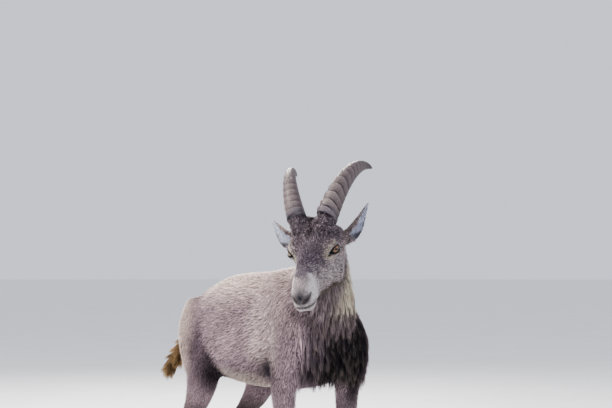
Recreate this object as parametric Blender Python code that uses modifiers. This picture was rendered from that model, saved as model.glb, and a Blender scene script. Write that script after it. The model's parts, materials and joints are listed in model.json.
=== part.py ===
"""A young male alpine ibex standing on the floor with its head turned to its right.

Metres, +Z up. The animal faces +X, its left side is +Y, and its hooves stand on z = 0.
"""

import math
import random

import bmesh
import bpy
import numpy as np
from mathutils import Matrix, Vector
from mathutils.bvhtree import BVHTree

# How the solids meet and how fine they are
JOINT_GAP = 0.0003
BODY_VOXEL = 0.0065
BODY_TRIANGLES = 2600
HEAD_VOXEL = 0.0042
HEAD_TRIANGLES = 1950
MODEL_SHIFT = Vector((-0.060, 0.051, 0.0))

# Head: its frame has +X to the nose, +Y to the animal's left and +Z out of the forehead
HEAD_CENTRE = Vector((0.420, -0.134, 0.685))
HEAD_TURN = math.radians(-48)
HEAD_NOD = math.radians(27.5)
HEAD_ROLL = math.radians(5)
HEAD_SCALE = 1.025
NAPE = Vector((-0.108, 0.0, 0.024))
THROAT = Vector((-0.050, 0.0, -0.112))
THROAT_DROP = 0.005
NECK_TOP_HEIGHT = 0.24

# Eyes: the ball, its opening between the lids and where it looks, in the head's frame
EYE_PLACE = Vector((-0.005, 0.0435, 0.0100))
EYE_RADIUS = 0.0145
EYE_GAZE = Vector((0.46, 0.88, 0.08))
LID_THICKNESS = 0.0026
EYE_OPENING = (0.0160, 0.0074, 0.0062)

# Nose and mouth, in the head's frame: turn, rise and half size along a nostril, seen from the nose's centre
NOSE_CENTRE = Vector((0.138, 0.0, -0.020))
NOSTRIL = ((9, -23, 0.0020), (26, -12, 0.0038), (44, 0, 0.0046), (58, 8, 0.0038), (70, 13, 0.0018))
MOUTH_CENTRE = Vector((0.140, 0.0, -0.0420))
MOUTH_CORNER = Vector((0.110, 0.0, -0.0400))
MOUTH_FRONT = 0.45

# Horns, in the head's frame: base, arc from the first angle through the bend, and sizes
HORN_BASE = Vector((-0.049, 0.0335, 0.066))
HORN_LENGTH = 0.298
HORN_RISE = math.radians(143)
HORN_BEND = math.radians(74)
HORN_SPREAD = (math.radians(17.5), math.radians(6))
HORN_DEPTH = 0.0315
HORN_WIDTH = 0.0212
HORN_RIDGES = 13
HORN_RIDGE_SPREAD = 0.85
HORN_SIDES = 12
HORN_STATIONS_A_RIDGE = 3

# Ears, in the head's frame: root, line to the tip, length, width and thickness
EAR_ROOT = Vector((-0.078, 0.0560, 0.0080))
EAR_LINES = {1: Vector((-0.076, 0.052, 0.038)), -1: Vector((-0.069, 0.070, 0.021))}
EAR_OPENINGS = {1: Vector((0.35, 0.85, -0.20)), -1: Vector((0.75, 0.55, -0.10))}
EAR_LENGTH = 0.098
EAR_HALF_WIDTH = 0.0245
EAR_THICKNESS = 0.0036

# Each row of the trunk: place along the body, top, underside, half width
TRUNK = (
    (-0.302, 0.513, 0.445, 0.045),
    (-0.288, 0.538, 0.420, 0.072),
    (-0.258, 0.564, 0.401, 0.094),
    (-0.212, 0.595, 0.389, 0.109),
    (-0.155, 0.621, 0.373, 0.118),
    (-0.090, 0.640, 0.361, 0.130),
    (-0.010, 0.647, 0.353, 0.141),
    (0.070, 0.650, 0.351, 0.140),
    (0.140, 0.659, 0.353, 0.130),
    (0.200, 0.663, 0.359, 0.122),
    (0.255, 0.640, 0.373, 0.114),
    (0.300, 0.590, 0.397, 0.097),
    (0.330, 0.530, 0.445, 0.060),
)

# Each row of a limb or the neck: x, y, z, half width, reach to the front, reach to the back
FORE_LEG = (
    (0.190, 0.060, 0.575, 0.036, 0.060, 0.060),
    (0.256, 0.082, 0.490, 0.042, 0.062, 0.070),
    (0.254, 0.094, 0.420, 0.035, 0.048, 0.058),
    (0.242, 0.094, 0.363, 0.029, 0.037, 0.043),
    (0.240, 0.091, 0.310, 0.0250, 0.0300, 0.0320),
    (0.240, 0.088, 0.261, 0.0225, 0.0255, 0.0255),
    (0.243, 0.085, 0.218, 0.0225, 0.0245, 0.0220),
    (0.242, 0.084, 0.184, 0.0190, 0.0190, 0.0190),
    (0.240, 0.083, 0.135, 0.0165, 0.0160, 0.0178),
    (0.237, 0.082, 0.094, 0.0165, 0.0165, 0.0180),
    (0.236, 0.082, 0.074, 0.0195, 0.0195, 0.0220),
    (0.246, 0.082, 0.052, 0.0185, 0.0180, 0.0195),
    (0.262, 0.082, 0.014, 0.0215, 0.0205, 0.0215),
)
HIND_LEG = (
    (-0.200, 0.055, 0.565, 0.042, 0.075, 0.068),
    (-0.190, 0.083, 0.495, 0.046, 0.088, 0.076),
    (-0.148, 0.096, 0.423, 0.044, 0.074, 0.076),
    (-0.138, 0.097, 0.373, 0.038, 0.060, 0.066),
    (-0.167, 0.095, 0.313, 0.030, 0.042, 0.043),
    (-0.207, 0.091, 0.268, 0.0240, 0.0290, 0.0285),
    (-0.234, 0.088, 0.229, 0.0230, 0.0250, 0.0300),
    (-0.238, 0.086, 0.193, 0.0190, 0.0210, 0.0220),
    (-0.235, 0.085, 0.135, 0.0165, 0.0165, 0.0185),
    (-0.231, 0.084, 0.094, 0.0175, 0.0175, 0.0195),
    (-0.228, 0.084, 0.074, 0.0205, 0.0205, 0.0225),
    (-0.218, 0.084, 0.052, 0.0190, 0.0185, 0.0200),
    (-0.202, 0.084, 0.014, 0.0215, 0.0205, 0.0215),
)
NECK = (
    (0.120, 0.000, 0.525, 0.100, 0.130, 0.110),
    (0.200, 0.000, 0.540, 0.100, 0.138, 0.110),
    (0.260, -0.006, 0.580, 0.088, 0.115, 0.096),
    (0.300, -0.024, 0.625, 0.073, 0.086, 0.080),
    (0.334, -0.044, 0.670, 0.061, 0.066, 0.068),
    (0.358, -0.064, 0.708, 0.054, 0.056, 0.054),
    (0.368, -0.074, 0.730, 0.042, 0.040, 0.036),
)
TAIL = (
    (-0.270, 0.000, 0.513, 0.022, 0.020, 0.020),
    (-0.312, -0.006, 0.500, 0.021, 0.018, 0.018),
    (-0.342, -0.016, 0.470, 0.020, 0.016, 0.016),
    (-0.366, -0.030, 0.433, 0.022, 0.016, 0.016),
    (-0.388, -0.044, 0.393, 0.021, 0.014, 0.014),
    (-0.400, -0.052, 0.367, 0.010, 0.007, 0.007),
)

# Each row of the head, in its own frame: place, top, underside, half width
HEAD = (
    (-0.110, 0.018, -0.034, 0.030),
    (-0.097, 0.044, -0.064, 0.047),
    (-0.072, 0.062, -0.085, 0.055),
    (-0.045, 0.068, -0.097, 0.054),
    (-0.015, 0.062, -0.096, 0.0495),
    (0.015, 0.051, -0.089, 0.0410),
    (0.045, 0.041, -0.079, 0.0315),
    (0.075, 0.033, -0.069, 0.0268),
    (0.105, 0.026, -0.063, 0.0242),
    (0.128, 0.020, -0.060, 0.0240),
    (0.146, 0.011, -0.057, 0.0215),
    (0.158, 0.000, -0.051, 0.0165),
    (0.163, -0.012, -0.043, 0.0100),
)

# Muscle and bone that shows through the coat: centre and half sizes, in the body's frame
BODY_SWELLS = (
    ((0.275, 0.070, 0.480), (0.050, 0.040, 0.060)),
    ((0.200, 0.080, 0.465), (0.070, 0.040, 0.080)),
    ((0.170, 0.050, 0.585), (0.080, 0.050, 0.070)),
    ((-0.120, 0.092, 0.405), (0.050, 0.034, 0.056)),
    ((-0.190, 0.055, 0.535), (0.080, 0.050, 0.050)),
    ((-0.238, 0.052, 0.490), (0.050, 0.044, 0.066)),
    ((-0.254, 0.087, 0.239), (0.014, 0.012, 0.020)),
)

# The same on the head, in the head's frame
HEAD_SWELLS = (
    ((-0.036, 0.031, -0.052), (0.046, 0.023, 0.044)),
    ((-0.004, 0.033, 0.018), (0.034, 0.022, 0.026)),
    ((-0.062, 0.044, 0.006), (0.032, 0.020, 0.034)),
    ((0.140, 0.010, -0.018), (0.021, 0.013, 0.017)),
    ((0.122, 0.010, -0.034), (0.030, 0.017, 0.013)),
    ((0.130, 0.009, -0.050), (0.026, 0.014, 0.012)),
    ((-0.040, 0.018, 0.050), (0.040, 0.026, 0.026)),
)

# Long hair: half width, half thickness and depth of the root of a lock, and its size from root to tip
LOCK_HALF_WIDTH = 0.0082
LOCK_HALF_THICKNESS = 0.0030
LOCK_ROOT_DEPTH = 0.0080
LOCK_SIDES = 4
LOCK_SHAPE = (0.75, 1.0, 0.92, 0.55, 0.06)
LOCK_SEED = 11

# Locks on the front of the neck and chest: height, count, half the turn they cover in degrees, length
CHEST_LOCKS = (
    (0.628, 4, 46, 0.050),
    (0.598, 5, 54, 0.056),
    (0.568, 6, 58, 0.060),
    (0.538, 7, 60, 0.064),
    (0.508, 8, 62, 0.066),
    (0.478, 8, 60, 0.066),
    (0.448, 7, 54, 0.064),
    (0.420, 6, 46, 0.060),
)
CHEST_LOCK_LIFT = 0.0052
CHEST_AXIS_X = 0.205

# Locks of the tail: place along it, count round it, length, and how far they splay from its line
TAIL_LOCKS = ((0.28, 4, 0.056), (0.44, 4, 0.058), (0.60, 4, 0.052), (0.76, 3, 0.042))
TAIL_LOCK_SPLAY = 0.10
TAIL_CORE = 0.62

# Hooves: sole length, width of one claw, height at the toe and heel, splay between claws
CLAW_LENGTH = 0.056
CLAW_WIDTH = 0.0195
CLAW_TOE_HEIGHT = 0.036
CLAW_HEEL_HEIGHT = 0.024
CLAW_SPLAY = math.radians(5)
CLEFT = 0.0022
CLAW_SETBACK = 0.010
CLAW_TOP_REACH = 0.80
CORONET_GAP = 0.0008
FOOT_PLACES = {"fore": Vector((0.258, 0.082, 0.0)), "hind": Vector((-0.206, 0.084, 0.0))}

# How far each foot is set forward of its place, and the height from which its leg leans to it
STRIDES = {("fore", 1): 0.020, ("fore", -1): 0.0, ("hind", 1): -0.030, ("hind", -1): 0.0}
STRIDE_TOP = 0.40

# Dewclaws: height, how far behind and beside the leg's line, length, width
DEWCLAW_HEIGHT = 0.068
DEWCLAW_BEHIND = {"fore": -0.040, "hind": -0.040}
DEWCLAW_ASIDE = 0.0115
DEWCLAW_LENGTH = 0.024
DEWCLAW_WIDTH = 0.0065

# Where the body is parted, and the place by which each part is told
LEG_OUTLINES = {
    "fore": ((0.172, -0.010), (0.168, 0.365), (0.186, 0.465), (0.300, 0.465), (0.330, 0.417), (0.330, -0.010)),
    "hind": ((-0.330, -0.010), (-0.330, 0.270), (-0.290, 0.405), (-0.235, 0.465), (-0.130, 0.455),
             (-0.062, 0.395), (-0.075, 0.315), (-0.130, 0.180), (-0.130, -0.010)),
}
LEG_INNER = 0.042
LEG_OUTER = 0.240
KNEE_HEIGHTS = {"fore": 0.221, "hind": 0.238}
CHEST_REAR = 0.120
RUMP_FRONT = -0.045
NECK_CUT = (Vector((0.245, 0.0, 0.585)), Vector((0.62, 0.0, 0.78)))

# Colours, roughness: the base finish of each kind of surface
FINISHES = {
    "coat": ((0.30, 0.24, 0.20), 0.90),
    "dark_coat": ((0.10, 0.075, 0.06), 0.90),
    "ear_skin": ((0.45, 0.38, 0.34), 0.85),
    "horn": ((0.19, 0.16, 0.14), 0.55),
    "hoof": ((0.045, 0.040, 0.038), 0.50),
    "eye": ((0.32, 0.17, 0.04), 0.08),
}


def clear_scene():
    for obj in list(bpy.data.objects):
        bpy.data.objects.remove(obj)


def new_collection(name, shown=True):
    made = bpy.data.collections.new(name)
    bpy.context.scene.collection.children.link(made)
    made.hide_render = not shown
    return made


def finish(name):
    """The material of one kind of surface, made once."""
    made = bpy.data.materials.get(name)
    if made:
        return made
    made = bpy.data.materials.new(name)
    made.use_nodes = True
    colour, roughness = FINISHES[name]
    shader = made.node_tree.nodes["Principled BSDF"]
    shader.inputs["Base Color"].default_value = (*colour, 1)
    shader.inputs["Roughness"].default_value = roughness
    shader.inputs["Metallic"].default_value = 0
    made.diffuse_color = (*colour, 1)
    return made


def spline(rows, count):
    """Points evenly spread in parameter on the smooth curve through the rows."""
    rows = np.asarray(rows, float)
    padded = np.vstack([2 * rows[0] - rows[1], rows, 2 * rows[-1] - rows[-2]])
    at = np.linspace(0, len(rows) - 1, count)
    first = np.minimum(at.astype(int), len(rows) - 2)
    t = (at - first)[:, None]
    a, b, c, d = (padded[first + k] for k in range(4))
    return 0.5 * (2 * b + (c - a) * t + (2 * a - 5 * b + 4 * c - d) * t**2 + (3 * b - a - 3 * c + d) * t**3)


def oval(sides, power):
    """Unit cosines and sines round a section, squared off where power is over 2."""
    turn = np.linspace(0, 2 * math.pi, sides, endpoint=False)
    bulge = 2 / power
    return (
        np.sign(np.cos(turn)) * np.abs(np.cos(turn)) ** bulge,
        np.sign(np.sin(turn)) * np.abs(np.sin(turn)) ** bulge,
    )


def mesh_object(name, mesh, collection):
    data = bpy.data.meshes.new(name)
    mesh.to_mesh(data)
    mesh.free()
    obj = bpy.data.objects.new(name, data)
    collection.objects.link(obj)
    return obj


def loft(name, rings, collection):
    """A closed skin over rings of points, with a point closing each end."""
    mesh = bmesh.new()
    loops = [[mesh.verts.new(p) for p in ring] for ring in rings]
    sides = len(loops[0])
    for near, far in zip(loops, loops[1:]):
        for k in range(sides):
            mesh.faces.new((near[k], near[(k + 1) % sides], far[(k + 1) % sides], far[k]))
    for loop, step in ((loops[0], 1), (loops[-1], -1)):
        middle = mesh.verts.new(sum((v.co for v in loop), Vector()) / sides)
        for k in range(sides):
            mesh.faces.new((middle, loop[(k + step) % sides], loop[k]))
    bmesh.ops.recalc_face_normals(mesh, faces=mesh.faces)
    return mesh_object(name, mesh, collection)


def trunk_rings(rows, count, sides, power=2.25):
    """Upright sections of a long body, widest a little under the middle."""
    across, along = oval(sides, power)
    rings = []
    for x, top, under, half_width in spline(rows, count):
        widest = under + 0.46 * (top - under)
        reach = np.where(along > 0, top - widest, widest - under)
        rings.append(np.stack([np.full(sides, x), half_width * across, widest + reach * along], 1))
    return rings


def limb_rings(rows, count, sides, power=2.15, sideways=(0, 1, 0)):
    """Sections square to a limb's own line, with a reach to the front and one to the back."""
    path = spline(rows, count)
    tangent = np.gradient(path[:, :3], axis=0)
    tangent /= np.linalg.norm(tangent, axis=1)[:, None]
    side = np.asarray(sideways, float) - tangent * (tangent @ np.asarray(sideways, float))[:, None]
    side /= np.linalg.norm(side, axis=1)[:, None]
    front = np.cross(side, -tangent)
    front *= 1 if front[:, 0].sum() >= 0 else -1
    across, along = oval(sides, power)
    rings = []
    for row, aside, ahead in zip(path, side, front):
        reach = np.where(along > 0, row[4], row[5])
        rings.append(row[:3] + np.outer(across * row[3], aside) + np.outer(along * reach, ahead))
    return rings


def ball(name, centre, half_sizes, collection, frame=None, segments=24):
    mesh = bmesh.new()
    bmesh.ops.create_uvsphere(mesh, u_segments=segments, v_segments=segments // 2, radius=1)
    place = Matrix.Translation(centre) @ Matrix.Diagonal((*half_sizes, 1))
    place = frame @ place if frame else place
    mesh.transform(place)
    if place.determinant() < 0:
        bmesh.ops.reverse_faces(mesh, faces=mesh.faces)
    return mesh_object(name, mesh, collection)


def head_frame():
    """The head's own frame at its place on the neck."""
    turn = Matrix.Rotation(HEAD_TURN, 4, "Z")
    nod = Matrix.Rotation(HEAD_NOD, 4, "Y")
    roll = Matrix.Rotation(HEAD_ROLL, 4, "X")
    return Matrix.Translation(HEAD_CENTRE) @ turn @ nod @ roll @ Matrix.Scale(HEAD_SCALE, 4)


def mirrored(place, side):
    return Vector((place[0], place[1] * side, place[2]))


def block(place, normal, width, depth, collection, height=None, across=None):
    """A cutting block that starts at the place and reaches away along the normal, its width level or across."""
    mesh = bmesh.new()
    bmesh.ops.create_cube(mesh, size=1)
    mesh.transform(Matrix.Diagonal((width, height or width, depth, 1)))
    away = Vector(normal).normalized()
    level = across or (Vector((0, 1, 0)) if abs(away.z) > 0.9 else Vector((0, 0, 1)).cross(away).normalized())
    rise = away.cross(level).normalized()
    turn = Matrix([rise.cross(away), rise, away]).transposed().to_4x4()
    mesh.transform(Matrix.Translation(Vector(place) + away * depth / 2) @ turn)
    return mesh_object("block", mesh, collection)


def joined(pieces, name, collection):
    """One mesh object from several, which are then removed."""
    mesh = bmesh.new()
    for obj in pieces:
        mesh.from_mesh(obj.data)
        bpy.data.objects.remove(obj)
    return mesh_object(name, mesh, collection)


def apply_modifiers(obj):
    graph = bpy.context.evaluated_depsgraph_get()
    made = bpy.data.meshes.new_from_object(obj.evaluated_get(graph))
    obj.modifiers.clear()
    obj.data = made
    return obj


def combine(obj, other, operation, solver="MANIFOLD"):
    """A Boolean of two objects, applied, with the second one removed."""
    change = obj.modifiers.new("combine", "BOOLEAN")
    change.operation = operation
    change.solver = solver
    change.object = other
    apply_modifiers(obj)
    bpy.data.objects.remove(other)
    return obj


def melted(pieces, name, voxel, triangles, collection):
    """One smooth closed surface from overlapping pieces, thinned to a count of triangles."""
    made = joined(pieces, name, collection)
    remesh = made.modifiers.new("melt", "REMESH")
    remesh.mode = "VOXEL"
    remesh.voxel_size = voxel
    soften = made.modifiers.new("soften", "SMOOTH")
    soften.factor = 0.5
    soften.iterations = 6
    apply_modifiers(made)
    thin = made.modifiers.new("thin", "DECIMATE")
    thin.ratio = triangles / (2 * len(made.data.polygons))
    return apply_modifiers(made)


def neck_loft(rows, collection):
    return loft("neck", limb_rings(rows, 5 * len(rows), 28, sideways=(0.25, 1, 0)), collection)


def foot_place(foot, side):
    place = mirrored(FOOT_PLACES[foot], side)
    place.x += STRIDES[foot, side]
    return place


def leg_rows(foot, side, rows):
    """The rows of one leg, leaning below the elbow or stifle to where its foot stands."""
    return [
        (x + STRIDES[foot, side] * min(max(1 - z / STRIDE_TOP, 0) * 1.12, 1), y * side, z, *sizes)
        for x, y, z, *sizes in rows
    ]


def lock(path, normals, collection, grow=1.0):
    """A flat tapered lock of hair along a path, its flat side to the skin."""
    rings = []
    for k, (place, normal) in enumerate(zip(path, normals)):
        line = (path[min(k + 1, len(path) - 1)] - path[max(k - 1, 0)]).normalized()
        across = line.cross(normal).normalized()
        out = across.cross(line)
        size = LOCK_SHAPE[k] * grow
        ring = []
        for turn in np.linspace(0, 2 * math.pi, LOCK_SIDES, endpoint=False):
            aside = across * (math.cos(turn) * LOCK_HALF_WIDTH * size)
            ring.append(place + aside + out * (math.sin(turn) * LOCK_HALF_THICKNESS * max(size, 0.3)))
        rings.append(ring)
    return loft("lock", rings, collection)


def chest_axis(z):
    """The middle of the neck or chest at a height."""
    rows = sorted((row[2], row[0], row[1]) for row in NECK[1:5])
    x = np.interp(z, [r[0] for r in rows], [r[1] for r in rows])
    y = np.interp(z, [r[0] for r in rows], [r[2] for r in rows])
    return Vector((max(float(x), CHEST_AXIS_X), float(y), z))


def chest_locks(body, collection):
    """Long hair that hangs down the front of the neck and chest, each lock over the next one below."""
    surface = BVHTree.FromObject(body, bpy.context.evaluated_depsgraph_get())
    draw = random.Random(LOCK_SEED)
    down = Vector((-0.10, 0.0, -1.0)).normalized()
    for row, (z, count, half_turn, length) in enumerate(CHEST_LOCKS):
        for k in range(count):
            turn = ((k + 0.5 * (row % 2) + 0.25) / count * 2 - 1) * half_turn + draw.uniform(-3, 3)
            turn = math.radians(turn)
            ray = Vector((math.cos(turn), math.sin(turn), -0.05)).normalized()
            place, normal = surface.ray_cast(chest_axis(z + draw.uniform(-0.006, 0.006)), ray)[:2]
            reach = length * draw.uniform(0.85, 1.15)
            sway = Vector((0, draw.uniform(-0.18, 0.18), 0))
            path = [place - normal * LOCK_ROOT_DEPTH]
            normals = [normal]
            steps = len(LOCK_SHAPE) - 1
            for step in range(1, steps + 1):
                flow = down + sway * (step / steps)
                flow = (flow - normal * flow.dot(normal) * 0.7).normalized()
                place = place + flow * (reach / steps) * (0.35 if step == 1 else 1.2)
                near, face = surface.find_nearest(place)[:2]
                lift = CHEST_LOCK_LIFT * (0.25 + 0.75 * (step / steps) ** 1.5)
                if (place - near).dot(face) < lift:
                    place = near + face * lift
                    normal = face
                path.append(place)
                normals.append(normal)
            lock(path, normals, collection, draw.uniform(0.85, 1.15))


def tail_locks(collection):
    """The brush: locks that leave the dock all round and close to a point below it."""
    rows = spline(TAIL, 101)
    draw = random.Random(LOCK_SEED + 1)
    for ring, (along, count, length) in enumerate(TAIL_LOCKS):
        at = int(along * 100)
        line = Vector(rows[at + 2, :3] - rows[at - 2, :3]).normalized()
        side = Vector((0, 1, 0))
        side = (side - line * side.dot(line)).normalized()
        front = line.cross(side)
        for k in range(count):
            turn = 2 * math.pi * (k + 0.5 * (ring % 2)) / count + draw.uniform(-0.2, 0.2)
            out = side * math.cos(turn) + front * math.sin(turn)
            start = Vector(rows[at, :3]) + out * (rows[at, 3] * TAIL_CORE)
            reach = length * draw.uniform(0.9, 1.1)
            fall = Vector((0, 0, -1))
            path = [start - out * LOCK_ROOT_DEPTH * 0.8]
            steps = len(LOCK_SHAPE) - 1
            for step in range(1, steps + 1):
                far = step / steps
                heading = (line * (1 - 0.3 * far) + fall * 0.3 * far + out * TAIL_LOCK_SPLAY * (1 - far)).normalized()
                path.append((start if step == 1 else path[-1]) + heading * (reach / steps) * (0.4 if step == 1 else 1.2))
            lock(path, [out] * len(path), collection)


def fuse_all(obj, collection):
    """One union of an object with every object of a collection, which are then removed."""
    change = obj.modifiers.new("fuse", "BOOLEAN")
    change.operation = "UNION"
    change.solver = "MANIFOLD"
    change.operand_type = "COLLECTION"
    change.collection = collection
    apply_modifiers(obj)
    for other in list(collection.objects):
        bpy.data.objects.remove(other)
    return obj


def body_flesh(collection, scraps):
    """Trunk, neck and legs."""
    loft("trunk", trunk_rings(TRUNK, 40, 32), scraps)
    neck_loft(NECK, scraps)
    loft("dock", limb_rings(TAIL[:4], 12, 12), scraps)
    for side in (1, -1):
        for foot, rows in (("fore", FORE_LEG), ("hind", HIND_LEG)):
            loft("leg", limb_rings(leg_rows(foot, side, rows), 48, 20), scraps)
        for centre, sizes in BODY_SWELLS:
            ball("muscle", mirrored(centre, side), sizes, scraps)
    return melted(list(scraps.objects), "body", BODY_VOXEL, BODY_TRIANGLES, collection)


def eye_frame(side):
    """At the eyeball: +Y where it looks, +X to the corner by the nose, +Z to the brow."""
    gaze = EYE_GAZE.normalized()
    up = Vector((0, 0, 1))
    nose = gaze.cross(up).normalized()
    up = nose.cross(gaze)
    axes = [mirrored(v, side) for v in (nose, gaze, up)]
    frame = Matrix([axes[0], axes[1], axes[2]]).transposed().to_4x4()
    frame.translation = mirrored(EYE_PLACE, side)
    return head_frame() @ frame


def horn_direction(t, side):
    angle = HORN_RISE + HORN_BEND * t
    spread = HORN_SPREAD[0] + (HORN_SPREAD[1] - HORN_SPREAD[0]) * t
    flat = math.cos(spread)
    return Vector((math.cos(angle) * flat, math.sin(spread) * side, math.sin(angle) * flat))


def horn_path(t, side):
    """A point of the horn's line in the head's frame, t from 0 at the base to 1, and its direction."""
    steps = 40
    place = mirrored(HORN_BASE, side)
    for k in range(steps):
        place = place + horn_direction(t * (k + 0.5) / steps, side) * (HORN_LENGTH * t / steps)
    return place, horn_direction(t, side)


def horn(side, collection):
    """A tapering horn with a flat ridged front, swept back along an arc."""
    frame = head_frame()
    across, along = oval(HORN_SIDES, 2.4)
    stations = np.linspace(0, 1, HORN_RIDGES * HORN_STATIONS_A_RIDGE + 1) ** (1 / HORN_RIDGE_SPREAD)
    rings = []
    for t in stations:
        place, direction = horn_path(t, side)
        outward = Vector((0, side, 0))
        outward = (outward - direction * outward.dot(direction)).normalized()
        front = outward.cross(direction) * side
        taper = (1 - t) ** 0.72 * 0.95 + 0.05
        ridge = 0.5 + 0.5 * math.cos(2 * math.pi * HORN_RIDGES * t**HORN_RIDGE_SPREAD)
        ridge = ridge**2 * (1 - t) ** 0.5 * min(1, t * 30)
        swell = 1 + 0.08 * ridge + 0.12 * ridge * (along > 0.3) * along
        ring = [
            frame @ (place + outward * (c * HORN_WIDTH * taper * w) + front * (s * HORN_DEPTH * taper * w))
            for c, s, w in zip(across, along, swell)
        ]
        rings.append(ring)
    return loft(f"horn_{SIDE_NAMES[side]}", rings, collection)


SIDE_NAMES = {1: "left", -1: "right"}


def ear_axes(side):
    """The ear's line, the way its cup opens and the way across it, in the head's frame."""
    line = EAR_LINES[side].copy()
    line.y *= side
    line.normalize()
    opening = mirrored(EAR_OPENINGS[side], side)
    opening = (opening - line * opening.dot(line)).normalized()
    return line, opening, line.cross(opening)


def ear(side, collection):
    """A long cup, wide below its middle and pointed, open to the front and side."""
    frame = head_frame()
    line, opening, across = ear_axes(side)
    root = mirrored(EAR_ROOT, side)
    rows = (
        (0.00, 0.80, 1.00), (0.10, 0.90, 1.05), (0.25, 1.00, 1.00), (0.42, 1.00, 0.85),
        (0.58, 0.88, 0.70), (0.74, 0.66, 0.55), (0.88, 0.38, 0.36), (1.00, 0.05, 0.10),
    )
    half = 7
    rings = []
    for u, width, curl in spline(rows, 12):
        arc = np.linspace(-1, 1, half) * curl * 1.35
        reach = EAR_HALF_WIDTH * width / max(math.sin(min(curl * 1.35, 1.5)), 0.2)
        thick = EAR_THICKNESS * (1 - 0.45 * u)
        centre = root + line * (EAR_LENGTH * u) + opening * (EAR_LENGTH * 0.03 * math.sin(math.pi * u))
        ring = []
        for angles, radius in ((arc, reach + thick / 2), (arc[::-1], reach - thick / 2)):
            for a in angles:
                radial = across * math.sin(a) - opening * math.cos(a)
                ring.append(frame @ (centre + opening * reach + radial * radius))
        rings.append(ring)
    return loft(f"ear_{SIDE_NAMES[side]}", rings, collection)


def head_flesh(collection, scraps):
    """Head with the seats of the horns and ears, and the top of the neck."""
    frame = head_frame()
    neck_loft(NECK[3:], scraps)
    skull = loft("skull", trunk_rings(HEAD, 40, 32, power=2.3), scraps)
    skull.data.transform(frame)
    for side in (1, -1):
        for centre, sizes in HEAD_SWELLS:
            ball("cheek", mirrored(centre, side), sizes, scraps, frame)
        lids = EYE_RADIUS + LID_THICKNESS + 0.0012
        ball("lids", (0, 0, 0), (lids,) * 3, scraps, eye_frame(side))
        line = ear_axes(side)[0]
        root = mirrored(EAR_ROOT, side)
        ear_seat = [(*(root + line * reach), 0.016, 0.016, 0.016) for reach in (-0.030, -0.012, 0.004)]
        seat = loft("ear_seat", limb_rings(ear_seat, 6, 16), scraps)
        seat.data.transform(frame)
        base, direction = horn_path(0, side)
        horn_seat = [
            (*(base + direction * reach), HORN_WIDTH + 0.003, HORN_DEPTH + 0.003, HORN_DEPTH + 0.003)
            for reach in (-0.035, -0.015, 0.006)
        ]
        seat = loft("horn_seat", limb_rings(horn_seat, 6, 20), scraps)
        seat.data.transform(frame)
    return melted(list(scraps.objects), "head", HEAD_VOXEL, HEAD_TRIANGLES, collection)


def almond_cutter(side, collection):
    """The opening between the lids: a prism with a corner to the nose and one to the ear."""
    half_length, above, below = EYE_OPENING
    frame = eye_frame(side)
    outline = []
    for turn in np.linspace(0, 2 * math.pi, 20, endpoint=False):
        height = above if math.sin(turn) > 0 else below
        lift = math.copysign(abs(math.sin(turn)) ** 1.25, math.sin(turn)) * height
        outline.append((math.cos(turn) * half_length, lift))
    rings = [
        [frame @ Vector((x * grow, y, z * grow)) for x, z in outline]
        for y, grow in ((EYE_RADIUS * 0.35, 0.9), (EYE_RADIUS + 0.010, 1.15))
    ]
    return loft("opening", rings, collection)


def eyeball(name, radius, side, collection):
    return ball(name, (0, 0, 0), (radius,) * 3, collection, eye_frame(side) @ Matrix.Rotation(math.pi / 2, 4, "X"), 16)


def muzzle_point(surface, start, turn, rise):
    """Where a line from inside the muzzle leaves it, in the head's frame, and the line's direction."""
    frame = head_frame()
    direction = Vector((math.cos(turn) * math.cos(rise), math.sin(turn) * math.cos(rise), math.sin(rise)))
    hit = surface.ray_cast(frame @ Vector(start), (frame.to_3x3() @ direction).normalized())[0]
    return frame.inverted() @ hit, direction


def nostril_cutter(head, side, collection):
    """A comma on the muzzle that runs out and back from beside the middle of the nose."""
    surface = BVHTree.FromObject(head, bpy.context.evaluated_depsgraph_get())
    rows = []
    for turn, rise, size in NOSTRIL:
        place = muzzle_point(surface, NOSE_CENTRE, math.radians(turn) * side, math.radians(rise))[0]
        rows.append((*place, size, size, size))
    cutter = loft("nostril", limb_rings(rows, 10, 10), collection)
    cutter.data.transform(head_frame())
    return cutter


def mouth_cutter(head, collection):
    """A shallow groove round the front of the muzzle, from one corner of the mouth to the other."""
    frame = head_frame()
    surface = BVHTree.FromObject(head, bpy.context.evaluated_depsgraph_get())
    rings = []
    for turn in np.linspace(-1, 1, 25):
        away = abs(turn)
        if away < MOUTH_FRONT:
            start = MOUTH_CENTRE
            angle = turn / MOUTH_FRONT * math.pi / 2
        else:
            start = MOUTH_CENTRE.lerp(MOUTH_CORNER, (away - MOUTH_FRONT) / (1 - MOUTH_FRONT))
            angle = math.copysign(math.pi / 2, turn)
        place, direction = muzzle_point(surface, start, angle, 0)
        depth = 0.0040 * min(1, (1 - away) * 8 + 0.15)
        height = 0.0011 * min(1, (1 - away) * 8 + 0.3)
        up = Vector((0, 0, 1))
        ring = [
            place + direction * 0.004 + up * height * 2.2,
            place + direction * 0.004 - up * height * 2.2,
            place - direction * depth - up * height * 0.5,
            place - direction * depth + up * height * 0.5,
        ]
        rings.append([frame @ p for p in ring])
    return loft("mouth", rings, collection)


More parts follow.
